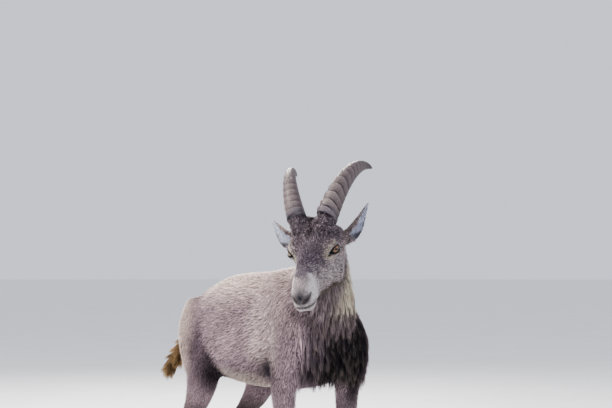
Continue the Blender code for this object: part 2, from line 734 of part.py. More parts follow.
def claw(name, foot, side, inner, collection):
    """One half of a hoof: a wedge with a flat sole, a straight wall by the cleft and a round outer wall."""
    outline = []
    for turn in np.linspace(0, 2 * math.pi, 12, endpoint=False):
        x = math.cos(turn)
        y = math.sin(turn)
        y = y * (0.5 if y > 0 else 0.06)
        outline.append((x * CLAW_LENGTH / 2 + 0.004, (y + 0.06) * CLAW_WIDTH * (1 - 0.35 * max(x, 0) ** 2) * 1.75))
    rings = []
    for level, reach in ((0.0, 1.0), (0.35, 0.97), (0.7, 0.90), (1.0, CLAW_TOP_REACH)):
        ring = []
        for x, y in outline:
            toe = 0.5 + x / CLAW_LENGTH
            top = CLAW_HEEL_HEIGHT + (CLAW_TOE_HEIGHT - CLAW_HEEL_HEIGHT) * toe
            slide = -CLAW_SETBACK * level
            ring.append(Vector((x * reach + slide, y * (0.5 + 0.5 * reach), top * level)))
        rings.append(ring)
    place = foot_place(foot, side)
    outward = side if inner < 0 else -side
    turned = Matrix.Rotation(CLAW_SPLAY * outward, 4, "Z")
    heel = Vector((-CLAW_LENGTH / 2 - CLAW_SETBACK, 0, 0))
    rings = [
        [place + heel + turned @ (Vector((p.x, (p.y + CLEFT / 2) * outward, p.z)) - heel) for p in ring]
        for ring in rings
    ]
    return loft(name, rings, collection)


def coronet_block(foot, side, collection):
    """Takes the end of a leg away down to the top of its hoof."""
    slope = math.atan2(CLAW_TOE_HEIGHT - CLAW_HEEL_HEIGHT, CLAW_LENGTH * CLAW_TOP_REACH)
    place = foot_place(foot, side)
    place.x -= CLAW_SETBACK
    place.z = (CLAW_HEEL_HEIGHT + CLAW_TOE_HEIGHT) / 2 + CORONET_GAP
    return block(place, (math.sin(slope), 0, -math.cos(slope)), 0.12, 0.06, collection)


def add_dewclaws(ibex, scraps):
    """Two small claws behind the pastern of each leg."""
    for foot in ("fore", "hind"):
        for side, word in SIDE_NAMES.items():
            leg = ibex.objects[f"{foot}leg_lower_{word}"]
            for aside in (1, -1):
                start = foot_place(foot, side) + Vector((DEWCLAW_BEHIND[foot], DEWCLAW_ASIDE * aside, DEWCLAW_HEIGHT))
                rows = []
                for t, size in ((-0.45, 0.9), (0.0, 1.0), (0.4, 0.9), (0.75, 0.6), (1.0, 0.2)):
                    place = start + Vector((-0.30, 0.28 * aside, -0.90)) * (DEWCLAW_LENGTH * t)
                    rows.append((*place, DEWCLAW_WIDTH * size, DEWCLAW_WIDTH * size, DEWCLAW_WIDTH * size))
                combine(leg, loft("dewclaw", limb_rings(rows, 7, 8), scraps), "UNION")
            largest_only(leg)


def plane_cut(place, normal, width, collection):
    return block(Vector(place) - Vector(normal).normalized() * JOINT_GAP / 2, normal, width, JOINT_GAP, collection)


def leg_cut(foot, side, collection):
    """A thin wall round the top of a leg and along its inner side."""
    mesh = bmesh.new()
    outline = LEG_OUTLINES[foot]
    near = [mesh.verts.new((x, LEG_INNER * side, z)) for x, z in outline]
    far = [mesh.verts.new((x, LEG_OUTER * side, z)) for x, z in outline]
    mesh.faces.new(near)
    for k in range(len(outline)):
        nxt = (k + 1) % len(outline)
        mesh.faces.new((near[k], near[nxt], far[nxt], far[k]))
    bmesh.ops.recalc_face_normals(mesh, faces=mesh.faces)
    wall = mesh_object("wall", mesh, collection)
    thick = wall.modifiers.new("thick", "SOLIDIFY")
    thick.thickness = JOINT_GAP
    thick.offset = 0
    thick.use_even_offset = True
    return apply_modifiers(wall)


def islands(obj):
    """The separate closed surfaces of an object, as sets of face numbers."""
    mesh = bmesh.new()
    mesh.from_mesh(obj.data)
    left = set(mesh.faces)
    found = []
    while left:
        stack = [left.pop()]
        island = set(stack)
        while stack:
            for edge in stack.pop().edges:
                for face in edge.link_faces:
                    if face in left:
                        left.discard(face)
                        island.add(face)
                        stack.append(face)
        found.append({f.index for f in island})
    mesh.free()
    return found


def kept_island(obj, faces, name, collection):
    mesh = bmesh.new()
    mesh.from_mesh(obj.data)
    doomed = [f for f in mesh.faces if f.index not in faces]
    bmesh.ops.delete(mesh, geom=doomed, context="FACES")
    return mesh_object(name, mesh, collection)


def part_places():
    """A point inside each part of the parted body."""
    places = {
        "neck": Vector((0.33, -0.035, 0.65)),
        "chest": Vector((0.20, 0.0, 0.52)),
        "abdomen": Vector((0.02, 0.0, 0.50)),
        "rump": Vector((-0.20, 0.0, 0.51)),
    }
    for side, word in SIDE_NAMES.items():
        places[f"foreleg_upper_{word}"] = Vector((0.245, 0.10 * side, 0.34))
        places[f"foreleg_lower_{word}"] = Vector((0.245, 0.083 * side, 0.13))
        places[f"hindleg_upper_{word}"] = Vector((-0.16, 0.10 * side, 0.35))
        places[f"hindleg_lower_{word}"] = Vector((-0.230, 0.085 * side, 0.13))
    return places


def parted(body, collection):
    """Objects for the parts of the cut body, each named by the place that it is nearest to."""
    places = part_places()
    found = islands(body)
    centres = []
    for faces in found:
        spots = [body.data.polygons[f].center * body.data.polygons[f].area for f in faces]
        area = sum(body.data.polygons[f].area for f in faces)
        centres.append((sum(spots, Vector()) / area, area))
    for name, place in places.items():
        best = min(range(len(found)), key=lambda k: (centres[k][0] - place).length + (centres[k][1] < 0.004))
        kept_island(body, found[best], name, collection)
    bpy.data.objects.remove(body)


def largest_only(obj):
    """Drops every closed surface of an object but the one with the most area."""
    found = islands(obj)
    if len(found) == 1:
        return obj
    best = max(found, key=lambda faces: sum(obj.data.polygons[f].area for f in faces))
    mesh = bmesh.new()
    mesh.from_mesh(obj.data)
    doomed = [f for f in mesh.faces if f.index not in best]
    bmesh.ops.delete(mesh, geom=doomed, context="FACES")
    mesh.to_mesh(obj.data)
    mesh.free()
    return obj


def make_body(ibex, scraps):
    body = body_flesh(ibex, scraps)
    chest_locks(body, scraps)
    fuse_all(body, scraps)
    largest_only(body)
    frame = head_frame()
    nape, throat = frame @ NAPE, frame @ THROAT
    to_head = (throat - nape).cross(frame.to_3x3() @ Vector((0, 1, 0))).normalized()
    up = (nape - throat).normalized()
    sideways = (frame.to_3x3() @ Vector((0, 1, 0))).normalized()
    middle = throat + up * (NECK_TOP_HEIGHT / 2 - THROAT_DROP)
    above = block(middle, to_head, 0.26, 0.20, scraps, height=NECK_TOP_HEIGHT, across=sideways)
    combine(body, above, "DIFFERENCE")
    tail_place, tail_line = tail_start()
    combine(body, block(tail_place, tail_line, 0.10, 0.10, scraps), "DIFFERENCE")
    for foot in ("fore", "hind"):
        for side in (1, -1):
            combine(body, coronet_block(foot, side, scraps), "DIFFERENCE")
            combine(body, leg_cut(foot, side, scraps), "DIFFERENCE")
        knees = (FOOT_PLACES[foot].x, 0, KNEE_HEIGHTS[foot])
        combine(body, plane_cut(knees, (0, 0, 1), 0.36, scraps), "DIFFERENCE")
    combine(body, plane_cut(*NECK_CUT, 0.44, scraps), "DIFFERENCE")
    combine(body, plane_cut((CHEST_REAR, 0, 0.55), (1, 0, 0), 0.44, scraps), "DIFFERENCE")
    combine(body, plane_cut((RUMP_FRONT, 0, 0.55), (1, 0, 0), 0.44, scraps), "DIFFERENCE")
    parted(body, ibex)
    return throat, up, to_head


def make_head(ibex, scraps, throat, up, to_head):
    frame = head_frame()
    head = head_flesh(ibex, scraps)
    combine(head, block(throat + to_head * JOINT_GAP, -to_head, 0.40, 0.60, scraps), "DIFFERENCE")
    under = throat + to_head * 0.03 - up * (THROAT_DROP - JOINT_GAP)
    sideways = (frame.to_3x3() @ Vector((0, 1, 0))).normalized()
    combine(head, block(under, -up, 0.30, 0.20, scraps, height=0.12, across=sideways), "DIFFERENCE")
    for side in (1, -1):
        base, direction = horn_path(0, side)
        direction = frame.to_3x3() @ direction
        combine(head, block(frame @ base - direction * JOINT_GAP, direction, 0.066, 0.05, scraps), "DIFFERENCE")
        horn(side, ibex)
        line = frame.to_3x3() @ ear_axes(side)[0]
        root = frame @ mirrored(EAR_ROOT, side)
        combine(head, block(root - line * JOINT_GAP, line, 0.05, 0.04, scraps), "DIFFERENCE")
        ear(side, ibex)
        combine(head, almond_cutter(side, scraps), "DIFFERENCE")
        combine(head, eyeball("socket", EYE_RADIUS + JOINT_GAP, side, scraps), "DIFFERENCE")
        eyeball(f"eye_{SIDE_NAMES[side]}", EYE_RADIUS, side, ibex)
    mouth = mouth_cutter(head, scraps)
    combine(head, mouth, "DIFFERENCE")
    for side in (1, -1):
        combine(head, nostril_cutter(head, side, scraps), "DIFFERENCE")
    largest_only(head)


def tail_start():
    """Where the tail leaves the rump, and its direction there."""
    path = spline(TAIL, 51)[:, :3]
    first = 14
    line = Vector(path[first + 1] - path[first - 1]).normalized()
    return Vector(path[first]), line


def tail(collection, scraps):
    """A short brush, wide and flat below the dock, of locks over a core."""
    core = []
    for k, (x, y, z, *sizes) in enumerate(TAIL):
        slim = 1 if k < 2 else TAIL_CORE
        core.append((x, y, z, *(size * slim for size in sizes)))
    made = loft("tail", limb_rings(core, 14, 10), collection)
    tail_locks(scraps)
    fuse_all(made, scraps)
    place, line = tail_start()
    combine(made, block(place + line * JOINT_GAP, -line, 0.12, 0.12, scraps), "DIFFERENCE")
    return largest_only(made)


def dress(ibex):
    """Gives each object its finish and smooth shading."""
    for obj in ibex.objects:
        kind = "coat"
        for word, other in (("horn", "horn"), ("hoof", "hoof"), ("eye_", "eye"), ("ear_", "ear_skin"),
                            ("tail", "dark_coat"), ("_lower_", "dark_coat")):
            if word in obj.name:
                kind = other
        obj.data.materials.clear()
        obj.data.materials.append(finish(kind))
        obj.data.shade_smooth()
        obj.data.set_sharp_from_angle(angle=math.radians(50))


def main():
    clear_scene()
    ibex = new_collection("alpine_ibex")
    scraps = new_collection("scraps", shown=False)
    make_head(ibex, scraps, *make_body(ibex, scraps))
    add_dewclaws(ibex, scraps)
    tail(ibex, scraps)
    for foot in ("fore", "hind"):
        for side, word in SIDE_NAMES.items():
            for inner, place in ((1, "inner"), (-1, "outer")):
                claw(f"hoof_{foot}_{word}_{place}", foot, side, inner, ibex)
    for obj in ibex.objects:
        obj.data.transform(Matrix.Translation(MODEL_SHIFT))
    dress(ibex)


main()
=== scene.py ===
"""The looks of a young male alpine ibex: one skin under a coat of mesh hair, with horns, eyes and hooves."""

import json
import math

import bmesh
import bpy
import numpy as np
from mathutils import Matrix, Vector
from mathutils.bvhtree import BVHTree

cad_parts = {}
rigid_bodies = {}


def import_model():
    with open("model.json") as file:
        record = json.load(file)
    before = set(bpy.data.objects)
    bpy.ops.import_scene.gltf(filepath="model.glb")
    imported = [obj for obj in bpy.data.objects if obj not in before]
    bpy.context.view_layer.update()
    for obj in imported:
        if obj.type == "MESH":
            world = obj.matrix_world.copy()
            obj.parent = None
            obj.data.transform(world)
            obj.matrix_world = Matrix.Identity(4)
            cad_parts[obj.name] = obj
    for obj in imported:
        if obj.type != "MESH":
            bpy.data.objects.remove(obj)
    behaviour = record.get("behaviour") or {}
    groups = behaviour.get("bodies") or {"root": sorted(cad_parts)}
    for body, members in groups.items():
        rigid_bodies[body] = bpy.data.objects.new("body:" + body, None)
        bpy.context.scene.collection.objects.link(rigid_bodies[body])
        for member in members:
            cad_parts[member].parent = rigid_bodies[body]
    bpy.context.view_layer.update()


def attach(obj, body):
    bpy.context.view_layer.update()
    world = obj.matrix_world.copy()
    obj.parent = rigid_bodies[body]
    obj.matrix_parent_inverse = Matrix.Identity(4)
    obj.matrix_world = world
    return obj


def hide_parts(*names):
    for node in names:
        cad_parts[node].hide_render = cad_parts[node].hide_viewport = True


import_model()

# The frame of the source: everything is made here first and then shifted
MODEL_SHIFT = Vector((-0.060, 0.051, 0.0))
SEED = 7

# Head, as in the source
HEAD_CENTRE = Vector((0.420, -0.134, 0.685))
HEAD_TURN = math.radians(-48)
HEAD_NOD = math.radians(27.5)
HEAD_ROLL = math.radians(5)
HEAD_SCALE = 1.025
EYE_PLACE = Vector((-0.005, 0.0435, 0.0100))
EYE_RADIUS = 0.0145
EYE_GAZE = Vector((0.46, 0.88, 0.08))
EYE_OPENING = (0.0160, 0.0074, 0.0062)
LID_THICKNESS = 0.0026
NOSE_CENTRE = Vector((0.138, 0.0, -0.020))
NOSTRIL = ((9, -23, 0.0020), (26, -12, 0.0038), (44, 0, 0.0046), (58, 8, 0.0038), (70, 13, 0.0018))
MOUTH_CENTRE = Vector((0.140, 0.0, -0.0420))
MOUTH_CORNER = Vector((0.110, 0.0, -0.0400))
MOUTH_FRONT = 0.45
HORN_BASE = Vector((-0.049, 0.0335, 0.066))
HORN_LENGTH = 0.298
HORN_RISE = math.radians(143)
HORN_BEND = math.radians(74)
HORN_SPREAD = (math.radians(17.5), math.radians(6))
HORN_DEPTH = 0.0315
HORN_WIDTH = 0.0212
EAR_ROOT = Vector((-0.078, 0.0560, 0.0080))
EAR_LINES = {1: Vector((-0.076, 0.052, 0.038)), -1: Vector((-0.069, 0.070, 0.021))}
EAR_OPENINGS = {1: Vector((0.12, 0.93, -0.24)), -1: Vector((0.75, 0.55, -0.10))}
EAR_LENGTH = 0.098
EAR_HALF_WIDTH = 0.0245
EAR_THICKNESS = 0.0036
SIDE_NAMES = {1: "left", -1: "right"}

# Each row of the trunk: place along the body, top, underside, half width
TRUNK = (
    (-0.302, 0.513, 0.445, 0.045),
    (-0.288, 0.538, 0.420, 0.072),
    (-0.258, 0.564, 0.401, 0.094),
    (-0.212, 0.595, 0.389, 0.109),
    (-0.155, 0.621, 0.373, 0.118),
    (-0.090, 0.640, 0.361, 0.130),
    (-0.010, 0.647, 0.353, 0.141),
    (0.070, 0.650, 0.351, 0.140),
    (0.140, 0.659, 0.353, 0.130),
    (0.200, 0.663, 0.359, 0.122),
    (0.255, 0.640, 0.373, 0.114),
    (0.300, 0.590, 0.397, 0.097),
    (0.330, 0.530, 0.445, 0.060),
)

# Each row of a limb, the neck or the tail: x, y, z, half width, reach to the front, reach to the back
FORE_LEG = (
    (0.190, 0.060, 0.575, 0.036, 0.060, 0.060),
    (0.256, 0.082, 0.490, 0.042, 0.062, 0.070),
    (0.254, 0.094, 0.420, 0.035, 0.048, 0.058),
    (0.242, 0.094, 0.363, 0.029, 0.037, 0.043),
    (0.240, 0.091, 0.310, 0.0250, 0.0300, 0.0320),
    (0.240, 0.088, 0.261, 0.0225, 0.0255, 0.0255),
    (0.243, 0.085, 0.218, 0.0225, 0.0245, 0.0220),
    (0.242, 0.084, 0.184, 0.0190, 0.0190, 0.0190),
    (0.240, 0.083, 0.135, 0.0165, 0.0160, 0.0178),
    (0.237, 0.082, 0.094, 0.0165, 0.0165, 0.0180),
    (0.236, 0.082, 0.074, 0.0195, 0.0195, 0.0220),
    (0.246, 0.082, 0.052, 0.0185, 0.0180, 0.0195),
    (0.262, 0.082, 0.014, 0.0215, 0.0205, 0.0215),
)
HIND_LEG = (
    (-0.200, 0.055, 0.565, 0.042, 0.075, 0.068),
    (-0.190, 0.083, 0.495, 0.046, 0.088, 0.076),
    (-0.148, 0.096, 0.423, 0.044, 0.074, 0.076),
    (-0.138, 0.097, 0.373, 0.038, 0.060, 0.066),
    (-0.167, 0.095, 0.313, 0.030, 0.042, 0.043),
    (-0.207, 0.091, 0.268, 0.0240, 0.0290, 0.0285),
    (-0.234, 0.088, 0.229, 0.0230, 0.0250, 0.0300),
    (-0.238, 0.086, 0.193, 0.0190, 0.0210, 0.0220),
    (-0.235, 0.085, 0.135, 0.0165, 0.0165, 0.0185),
    (-0.231, 0.084, 0.094, 0.0175, 0.0175, 0.0195),
    (-0.228, 0.084, 0.074, 0.0205, 0.0205, 0.0225),
    (-0.218, 0.084, 0.052, 0.0190, 0.0185, 0.0200),
    (-0.202, 0.084, 0.014, 0.0215, 0.0205, 0.0215),
)
NECK = (
    (0.120, 0.000, 0.525, 0.100, 0.130, 0.110),
    (0.200, 0.000, 0.540, 0.100, 0.138, 0.110),
    (0.260, -0.006, 0.580, 0.088, 0.115, 0.096),
    (0.300, -0.024, 0.625, 0.073, 0.086, 0.080),
    (0.334, -0.044, 0.670, 0.061, 0.066, 0.068),
    (0.358, -0.064, 0.708, 0.054, 0.056, 0.054),
    (0.368, -0.074, 0.730, 0.042, 0.040, 0.036),
)
TAIL = (
    (-0.270, 0.000, 0.513, 0.022, 0.020, 0.020),
    (-0.312, -0.006, 0.500, 0.021, 0.018, 0.018),
    (-0.342, -0.016, 0.470, 0.020, 0.016, 0.016),
    (-0.366, -0.030, 0.433, 0.022, 0.016, 0.016),
    (-0.388, -0.044, 0.393, 0.021, 0.014, 0.014),
    (-0.400, -0.052, 0.367, 0.010, 0.007, 0.007),
)

# Each row of the head, in its own frame: place, top, underside, half width
HEAD = (
    (-0.110, 0.018, -0.034, 0.030),
    (-0.097, 0.044, -0.064, 0.047),
    (-0.072, 0.062, -0.085, 0.055),
    (-0.045, 0.068, -0.097, 0.054),
    (-0.015, 0.062, -0.096, 0.0495),
    (0.015, 0.051, -0.089, 0.0410),
    (0.045, 0.041, -0.079, 0.0315),
    (0.075, 0.033, -0.069, 0.0268),
    (0.105, 0.026, -0.063, 0.0242),
    (0.128, 0.020, -0.060, 0.0240),
    (0.146, 0.011, -0.057, 0.0215),
    (0.158, 0.000, -0.051, 0.0165),
    (0.163, -0.012, -0.043, 0.0100),
)
BODY_SWELLS = (
    ((0.275, 0.070, 0.480), (0.050, 0.040, 0.060)),
    ((0.200, 0.080, 0.465), (0.070, 0.040, 0.080)),
    ((0.170, 0.050, 0.585), (0.080, 0.050, 0.070)),
    ((-0.120, 0.092, 0.405), (0.050, 0.034, 0.056)),
    ((-0.190, 0.055, 0.535), (0.080, 0.050, 0.050)),
    ((-0.238, 0.052, 0.490), (0.050, 0.044, 0.066)),
    ((-0.254, 0.087, 0.239), (0.014, 0.012, 0.020)),
)
HEAD_SWELLS = (
    ((-0.036, 0.031, -0.052), (0.046, 0.023, 0.044)),
    ((-0.004, 0.033, 0.018), (0.034, 0.022, 0.026)),
    ((-0.062, 0.044, 0.006), (0.032, 0.020, 0.034)),
    ((0.140, 0.010, -0.018), (0.021, 0.013, 0.017)),
    ((0.122, 0.010, -0.034), (0.030, 0.017, 0.013)),
    ((0.130, 0.009, -0.050), (0.026, 0.014, 0.012)),
    ((-0.040, 0.018, 0.050), (0.040, 0.026, 0.026)),
)
CLAW_LENGTH = 0.056
CLAW_WIDTH = 0.0195
CLAW_TOE_HEIGHT = 0.036
CLAW_HEEL_HEIGHT = 0.024
CLAW_SPLAY = math.radians(5)
CLEFT = 0.0022
CLAW_SETBACK = 0.010
CLAW_TOP_REACH = 0.80
FOOT_PLACES = {"fore": Vector((0.258, 0.082, 0.0)), "hind": Vector((-0.206, 0.084, 0.0))}
STRIDES = {("fore", 1): 0.020, ("fore", -1): 0.0, ("hind", 1): -0.030, ("hind", -1): 0.0}
STRIDE_TOP = 0.40
DEWCLAW_HEIGHT = 0.068
DEWCLAW_BEHIND = -0.036
DEWCLAW_ASIDE = 0.0115
DEWCLAW_LENGTH = 0.018
DEWCLAW_WIDTH = 0.0072

# A dark line from behind the eye down the cheek, in the head's frame
FACE_CREST = (
    (-0.030, 0.058, 0.000), (-0.024, 0.056, -0.030), (-0.016, 0.050, -0.060), (-0.004, 0.040, -0.080),
)

# Skin: voxel, rounds of smoothing on body, head and seams, share of faces kept, shade under the hair
SKIN_VOXEL = 0.0036
SKIN_ROUNDS = 20
HEAD_ROUNDS = 8
SEAM_ROUNDS = 45
SKIN_SHARE = 0.60
SKIN_SHADE = 0.62

# Coat: how often tufts cover the skin, tufts in a piece, steps of one, seed of the lie, patch on the map
COVER = 1.45
PIECE_TUFTS = 18000
TUFT_STEPS = 2
LIE_SEED = 21
UV_PATCH = 0.003

# Colours of the coat as linear light, some with painted light and shade in them
COLOURS = {
    # The coat's paler back, partly painted light from above and behind
    "back": (0.794, 0.651, 0.605),
    "flank": (0.447, 0.352, 0.382),
    # Painted shade on the lower flank and on the upper front of the thigh
    "low_flank_shade": (0.210, 0.160, 0.197),
    "belly": (0.483, 0.410, 0.369),
    "thigh": (0.485, 0.371, 0.404),
    # Painted shade in the fold where the thigh meets the belly
    "thigh_fold_shade": (0.047, 0.034, 0.043),
    # Painted shade where the belly meets the foreleg, behind the elbow
    "elbow": (0.047, 0.037, 0.048),
    # A pale band of the coat at the shoulder, with painted light in it
    "shoulder": (0.683, 0.562, 0.563),
    # The coat's dark chest, with painted shade in it
    "chest": (0.020, 0.017, 0.021),
    # The same dark chest with less painted shade, on its right half
    "chest_side": (0.122, 0.098, 0.116),
    "neck": (0.231, 0.196, 0.209),
    # Painted rim light: a creamy edge on the far upper side of the neck
    "neck_rim_light": (0.700, 0.635, 0.520),
    "leg": (0.063, 0.050, 0.052),
    "leg_back": (0.231, 0.180, 0.138),
    "tail": (0.300, 0.205, 0.120),
    "ochre": (0.560, 0.400, 0.210),
    "forehead": (0.200, 0.165, 0.184),
    "streak": (0.038, 0.027, 0.031),
    "crest": (0.126, 0.095, 0.090),
    "pad": (0.055, 0.055, 0.075),
    "bridge": (0.160, 0.128, 0.156),
    "cheek": (0.400, 0.350, 0.350),
    "muzzle": (0.820, 0.762, 0.764),
    "lip": (0.105, 0.100, 0.103),
    # Dark bare skin; in the mouth's slit and the nostrils it holds painted shade too
    "dark_skin": (0.005, 0.004, 0.005),
    "brow": (0.504, 0.445, 0.363),
    "temple": (0.290, 0.240, 0.240),
    # Dark brown under the jaw: partly the coat's brown, partly painted shade
    "jaw_brown_and_shade": (0.075, 0.050, 0.035),
    "poll": (0.42, 0.32, 0.26),
    "ear_back": (0.347, 0.289, 0.282),
    "ear_inside": (0.500, 0.520, 0.620),
    "ear_rim": (0.063, 0.050, 0.052),
}

# Horns: ridges on the front, how they crowd to the tip, and how fine the mesh is
HORN_RIDGES = 13
HORN_RIDGE_SPREAD = 0.85
HORN_SIDES = 40
HORN_STATIONS = 320
HORN_PLAIN = (0.125, 0.098, 0.100)
# Painted highlight on the tops of the ledges
HORN_RIDGE_HIGHLIGHT = (0.255, 0.212, 0.208)
# Painted shade in the grooves under the ledges
HORN_GROOVE_SHADE = (0.006, 0.004, 0.004)
HORN_FOOT = (0.085, 0.082, 0.115)
HORN_TIP = (0.050, 0.042, 0.044)

# Eye: iris and level pupil as shares of the ball
IRIS_REACH = 0.60
PUPIL_LENGTH = 0.44
PUPIL_HEIGHT = 0.165
IRIS_AMBER = (0.20, 0.085, 0.018)
IRIS_INNER = (0.30, 0.17, 0.05)
IRIS_RIM = (0.016, 0.010, 0.008)
PUPIL_SHADE = 0.002
BALL_SHADE = 0.010
LID_RING = 0.0011
LID_SHADE = 0.008

# Hooves: colour of the wall, shade of the dewclaws and how often a growth ring comes
HOOF_COLOUR = (0.045, 0.040, 0.042)
DEWCLAW_SHADE = 0.045
HOOF_GROWTH = 44

# Long hair: count of strands, their length, pale tips, shade, and the clumps that they gather in
CHEST_STRANDS = 6400
CHEST_LENGTH = 0.046
CHEST_TIPS = (0.36, 0.30, 0.27)
TAIL_STRANDS = 2400
TAIL_LENGTH = 0.052
STRAND_STEPS = 5
STRAND_WIDTHS = (0.8, 1.0, 1.0, 0.85, 0.6)
STRAND_LIFT = 0.36
LONG_SHADE = 0.9
CLUMP = 0.015
CLUMP_PULL = 0.62
CLUMP_LIFT = 0.0022

# Camera: its place, what it looks at and its focal length for a 36 mm sensor
CAMERA_PLACE = Vector((2.638192, -1.713262, 0.659858))
CAMERA_TARGET = Vector((0.064259, 0.095145, 0.824283))
CAMERA_LENS = 70.59
CAMERA_SENSOR = 36

# Studio: sky colour and strength, exposure, floor, and each lamp's place, power, size and colour
SKY_COLOUR = (0.90, 0.92, 1.0, 1)
SKY_STRENGTH = 0.62
EXPOSURE = 0.10
FLOOR_COLOUR = (0.88, 0.88, 0.88, 1)
FLOOR_RADIUS = 60
LAMP_TARGET = Vector((0, 0, 0.5))
LAMPS = {
    "key": ((-0.6, -3.0, 3.4), 150, 1.8, (1.0, 0.95, 0.88)),
    "fill": ((3.0, -0.6, 1.6), 26, 2.4, (0.92, 0.94, 1.0)),
    "rim": ((-2.6, 1.2, 2.8), 90, 1.6, (1.0, 0.97, 0.93)),
}


def new_collection(name):
    made = bpy.data.collections.new(name)
    bpy.context.scene.collection.children.link(made)
    return made


def spline(rows, count):
    """Points evenly spread in parameter on the smooth curve through the rows."""
    rows = np.asarray(rows, float)
    padded = np.vstack([2 * rows[0] - rows[1], rows, 2 * rows[-1] - rows[-2]])
    at = np.linspace(0, len(rows) - 1, count)
    first = np.minimum(at.astype(int), len(rows) - 2)
    t = (at - first)[:, None]
    a, b, c, d = (padded[first + k] for k in range(4))
    return 0.5 * (2 * b + (c - a) * t + (2 * a - 5 * b + 4 * c - d) * t**2 + (3 * b - a - 3 * c + d) * t**3)


def oval(sides, power):
    turn = np.linspace(0, 2 * math.pi, sides, endpoint=False)
    bulge = 2 / power
    return (
        np.sign(np.cos(turn)) * np.abs(np.cos(turn)) ** bulge,
        np.sign(np.sin(turn)) * np.abs(np.sin(turn)) ** bulge,
    )


def mesh_object(name, mesh, collection):
    data = bpy.data.meshes.new(name)
    mesh.to_mesh(data)
    mesh.free()
    obj = bpy.data.objects.new(name, data)
    collection.objects.link(obj)
    return obj


def loft(name, rings, collection):
    """A closed skin over rings of points, with a point closing each end."""
    mesh = bmesh.new()
    loops = [[mesh.verts.new(p) for p in ring] for ring in rings]
    sides = len(loops[0])
    for near, far in zip(loops, loops[1:]):
        for k in range(sides):
            mesh.faces.new((near[k], near[(k + 1) % sides], far[(k + 1) % sides], far[k]))
    for loop, step in ((loops[0], 1), (loops[-1], -1)):
        middle = mesh.verts.new(sum((v.co for v in loop), Vector()) / sides)
        for k in range(sides):
            mesh.faces.new((middle, loop[(k + step) % sides], loop[k]))
    bmesh.ops.recalc_face_normals(mesh, faces=mesh.faces)
    return mesh_object(name, mesh, collection)


def trunk_rings(rows, count, sides, power=2.25):
    """Upright sections of a long body, widest a little under the middle."""
    across, along = oval(sides, power)
    rings = []
    for x, top, under, half_width in spline(rows, count):
        widest = under + 0.46 * (top - under)
        reach = np.where(along > 0, top - widest, widest - under)
        rings.append(np.stack([np.full(sides, x), half_width * across, widest + reach * along], 1))
    return rings


def limb_rings(rows, count, sides, power=2.15, sideways=(0, 1, 0)):
    """Sections square to a limb's own line, with a reach to the front and one to the back."""
    path = spline(rows, count)
    tangent = np.gradient(path[:, :3], axis=0)
    tangent /= np.linalg.norm(tangent, axis=1)[:, None]
    side = np.asarray(sideways, float) - tangent * (tangent @ np.asarray(sideways, float))[:, None]
    side /= np.linalg.norm(side, axis=1)[:, None]
    front = np.cross(side, -tangent)
    front *= 1 if front[:, 0].sum() >= 0 else -1
    across, along = oval(sides, power)
    rings = []
    for row, aside, ahead in zip(path, side, front):
        reach = np.where(along > 0, row[4], row[5])
        rings.append(row[:3] + np.outer(across * row[3], aside) + np.outer(along * reach, ahead))
    return rings


def ball(name, centre, half_sizes, collection, frame_of=None, segments=24):
    mesh = bmesh.new()
    bmesh.ops.create_uvsphere(mesh, u_segments=segments, v_segments=segments // 2, radius=1)
    place = Matrix.Translation(centre) @ Matrix.Diagonal((*half_sizes, 1))
    place = frame_of @ place if frame_of else place
    mesh.transform(place)
    if place.determinant() < 0:
        bmesh.ops.reverse_faces(mesh, faces=mesh.faces)
    return mesh_object(name, mesh, collection)


def head_frame():
    """The head's own frame at its place on the neck."""
    turn = Matrix.Rotation(HEAD_TURN, 4, "Z")
    nod = Matrix.Rotation(HEAD_NOD, 4, "Y")
    roll = Matrix.Rotation(HEAD_ROLL, 4, "X")
    return Matrix.Translation(HEAD_CENTRE) @ turn @ nod @ roll @ Matrix.Scale(HEAD_SCALE, 4)


def mirrored(place, side):
    return Vector((place[0], place[1] * side, place[2]))


def eye_frame(side):
    """At the eyeball: +Y where it looks, +X to the corner by the nose, +Z to the brow."""
    gaze = EYE_GAZE.normalized()
    nose = gaze.cross(Vector((0, 0, 1))).normalized()
    up = nose.cross(gaze)
    axes = [mirrored(v, side) for v in (nose, gaze, up)]
    turned = Matrix([axes[0], axes[1], axes[2]]).transposed().to_4x4()
    turned.translation = mirrored(EYE_PLACE, side)
    return head_frame() @ turned


def horn_direction(t, side):
    angle = HORN_RISE + HORN_BEND * t
    spread = HORN_SPREAD[0] + (HORN_SPREAD[1] - HORN_SPREAD[0]) * t
    flat = math.cos(spread)
    return Vector((math.cos(angle) * flat, math.sin(spread) * side, math.sin(angle) * flat))


def horn_line(side, count):
    """Points of the horn's line from its base to its tip, in the head's frame, with directions."""
    steps = 8
    place = mirrored(HORN_BASE, side)
    points = [(place.copy(), horn_direction(0, side))]
    for k in range(1, count):
        for j in range(steps):
            t = (k - 1 + (j + 0.5) / steps) / (count - 1)
            place = place + horn_direction(t, side) * (HORN_LENGTH / ((count - 1) * steps))
        points.append((place.copy(), horn_direction(k / (count - 1), side)))
    return points


def ear_axes(side):
    line = EAR_LINES[side].copy()
    line.y *= side
    line.normalize()
    opening = mirrored(EAR_OPENINGS[side], side)
    opening = (opening - line * opening.dot(line)).normalized()
    return line, opening, line.cross(opening)


def ramp(value, low, high):
    """Smooth step from 0 at low to 1 at high."""
    t = np.clip((value - low) / (high - low), 0, 1)
    return t * t * (3 - 2 * t)


def bell(*offsets):
    """1 where every offset is 0, falling off smoothly as they grow."""
    return np.exp(-sum(offset**2 for offset in offsets))


def unit(vectors):
    return vectors / np.maximum(np.linalg.norm(vectors, axis=-1, keepdims=True), 1e-9)


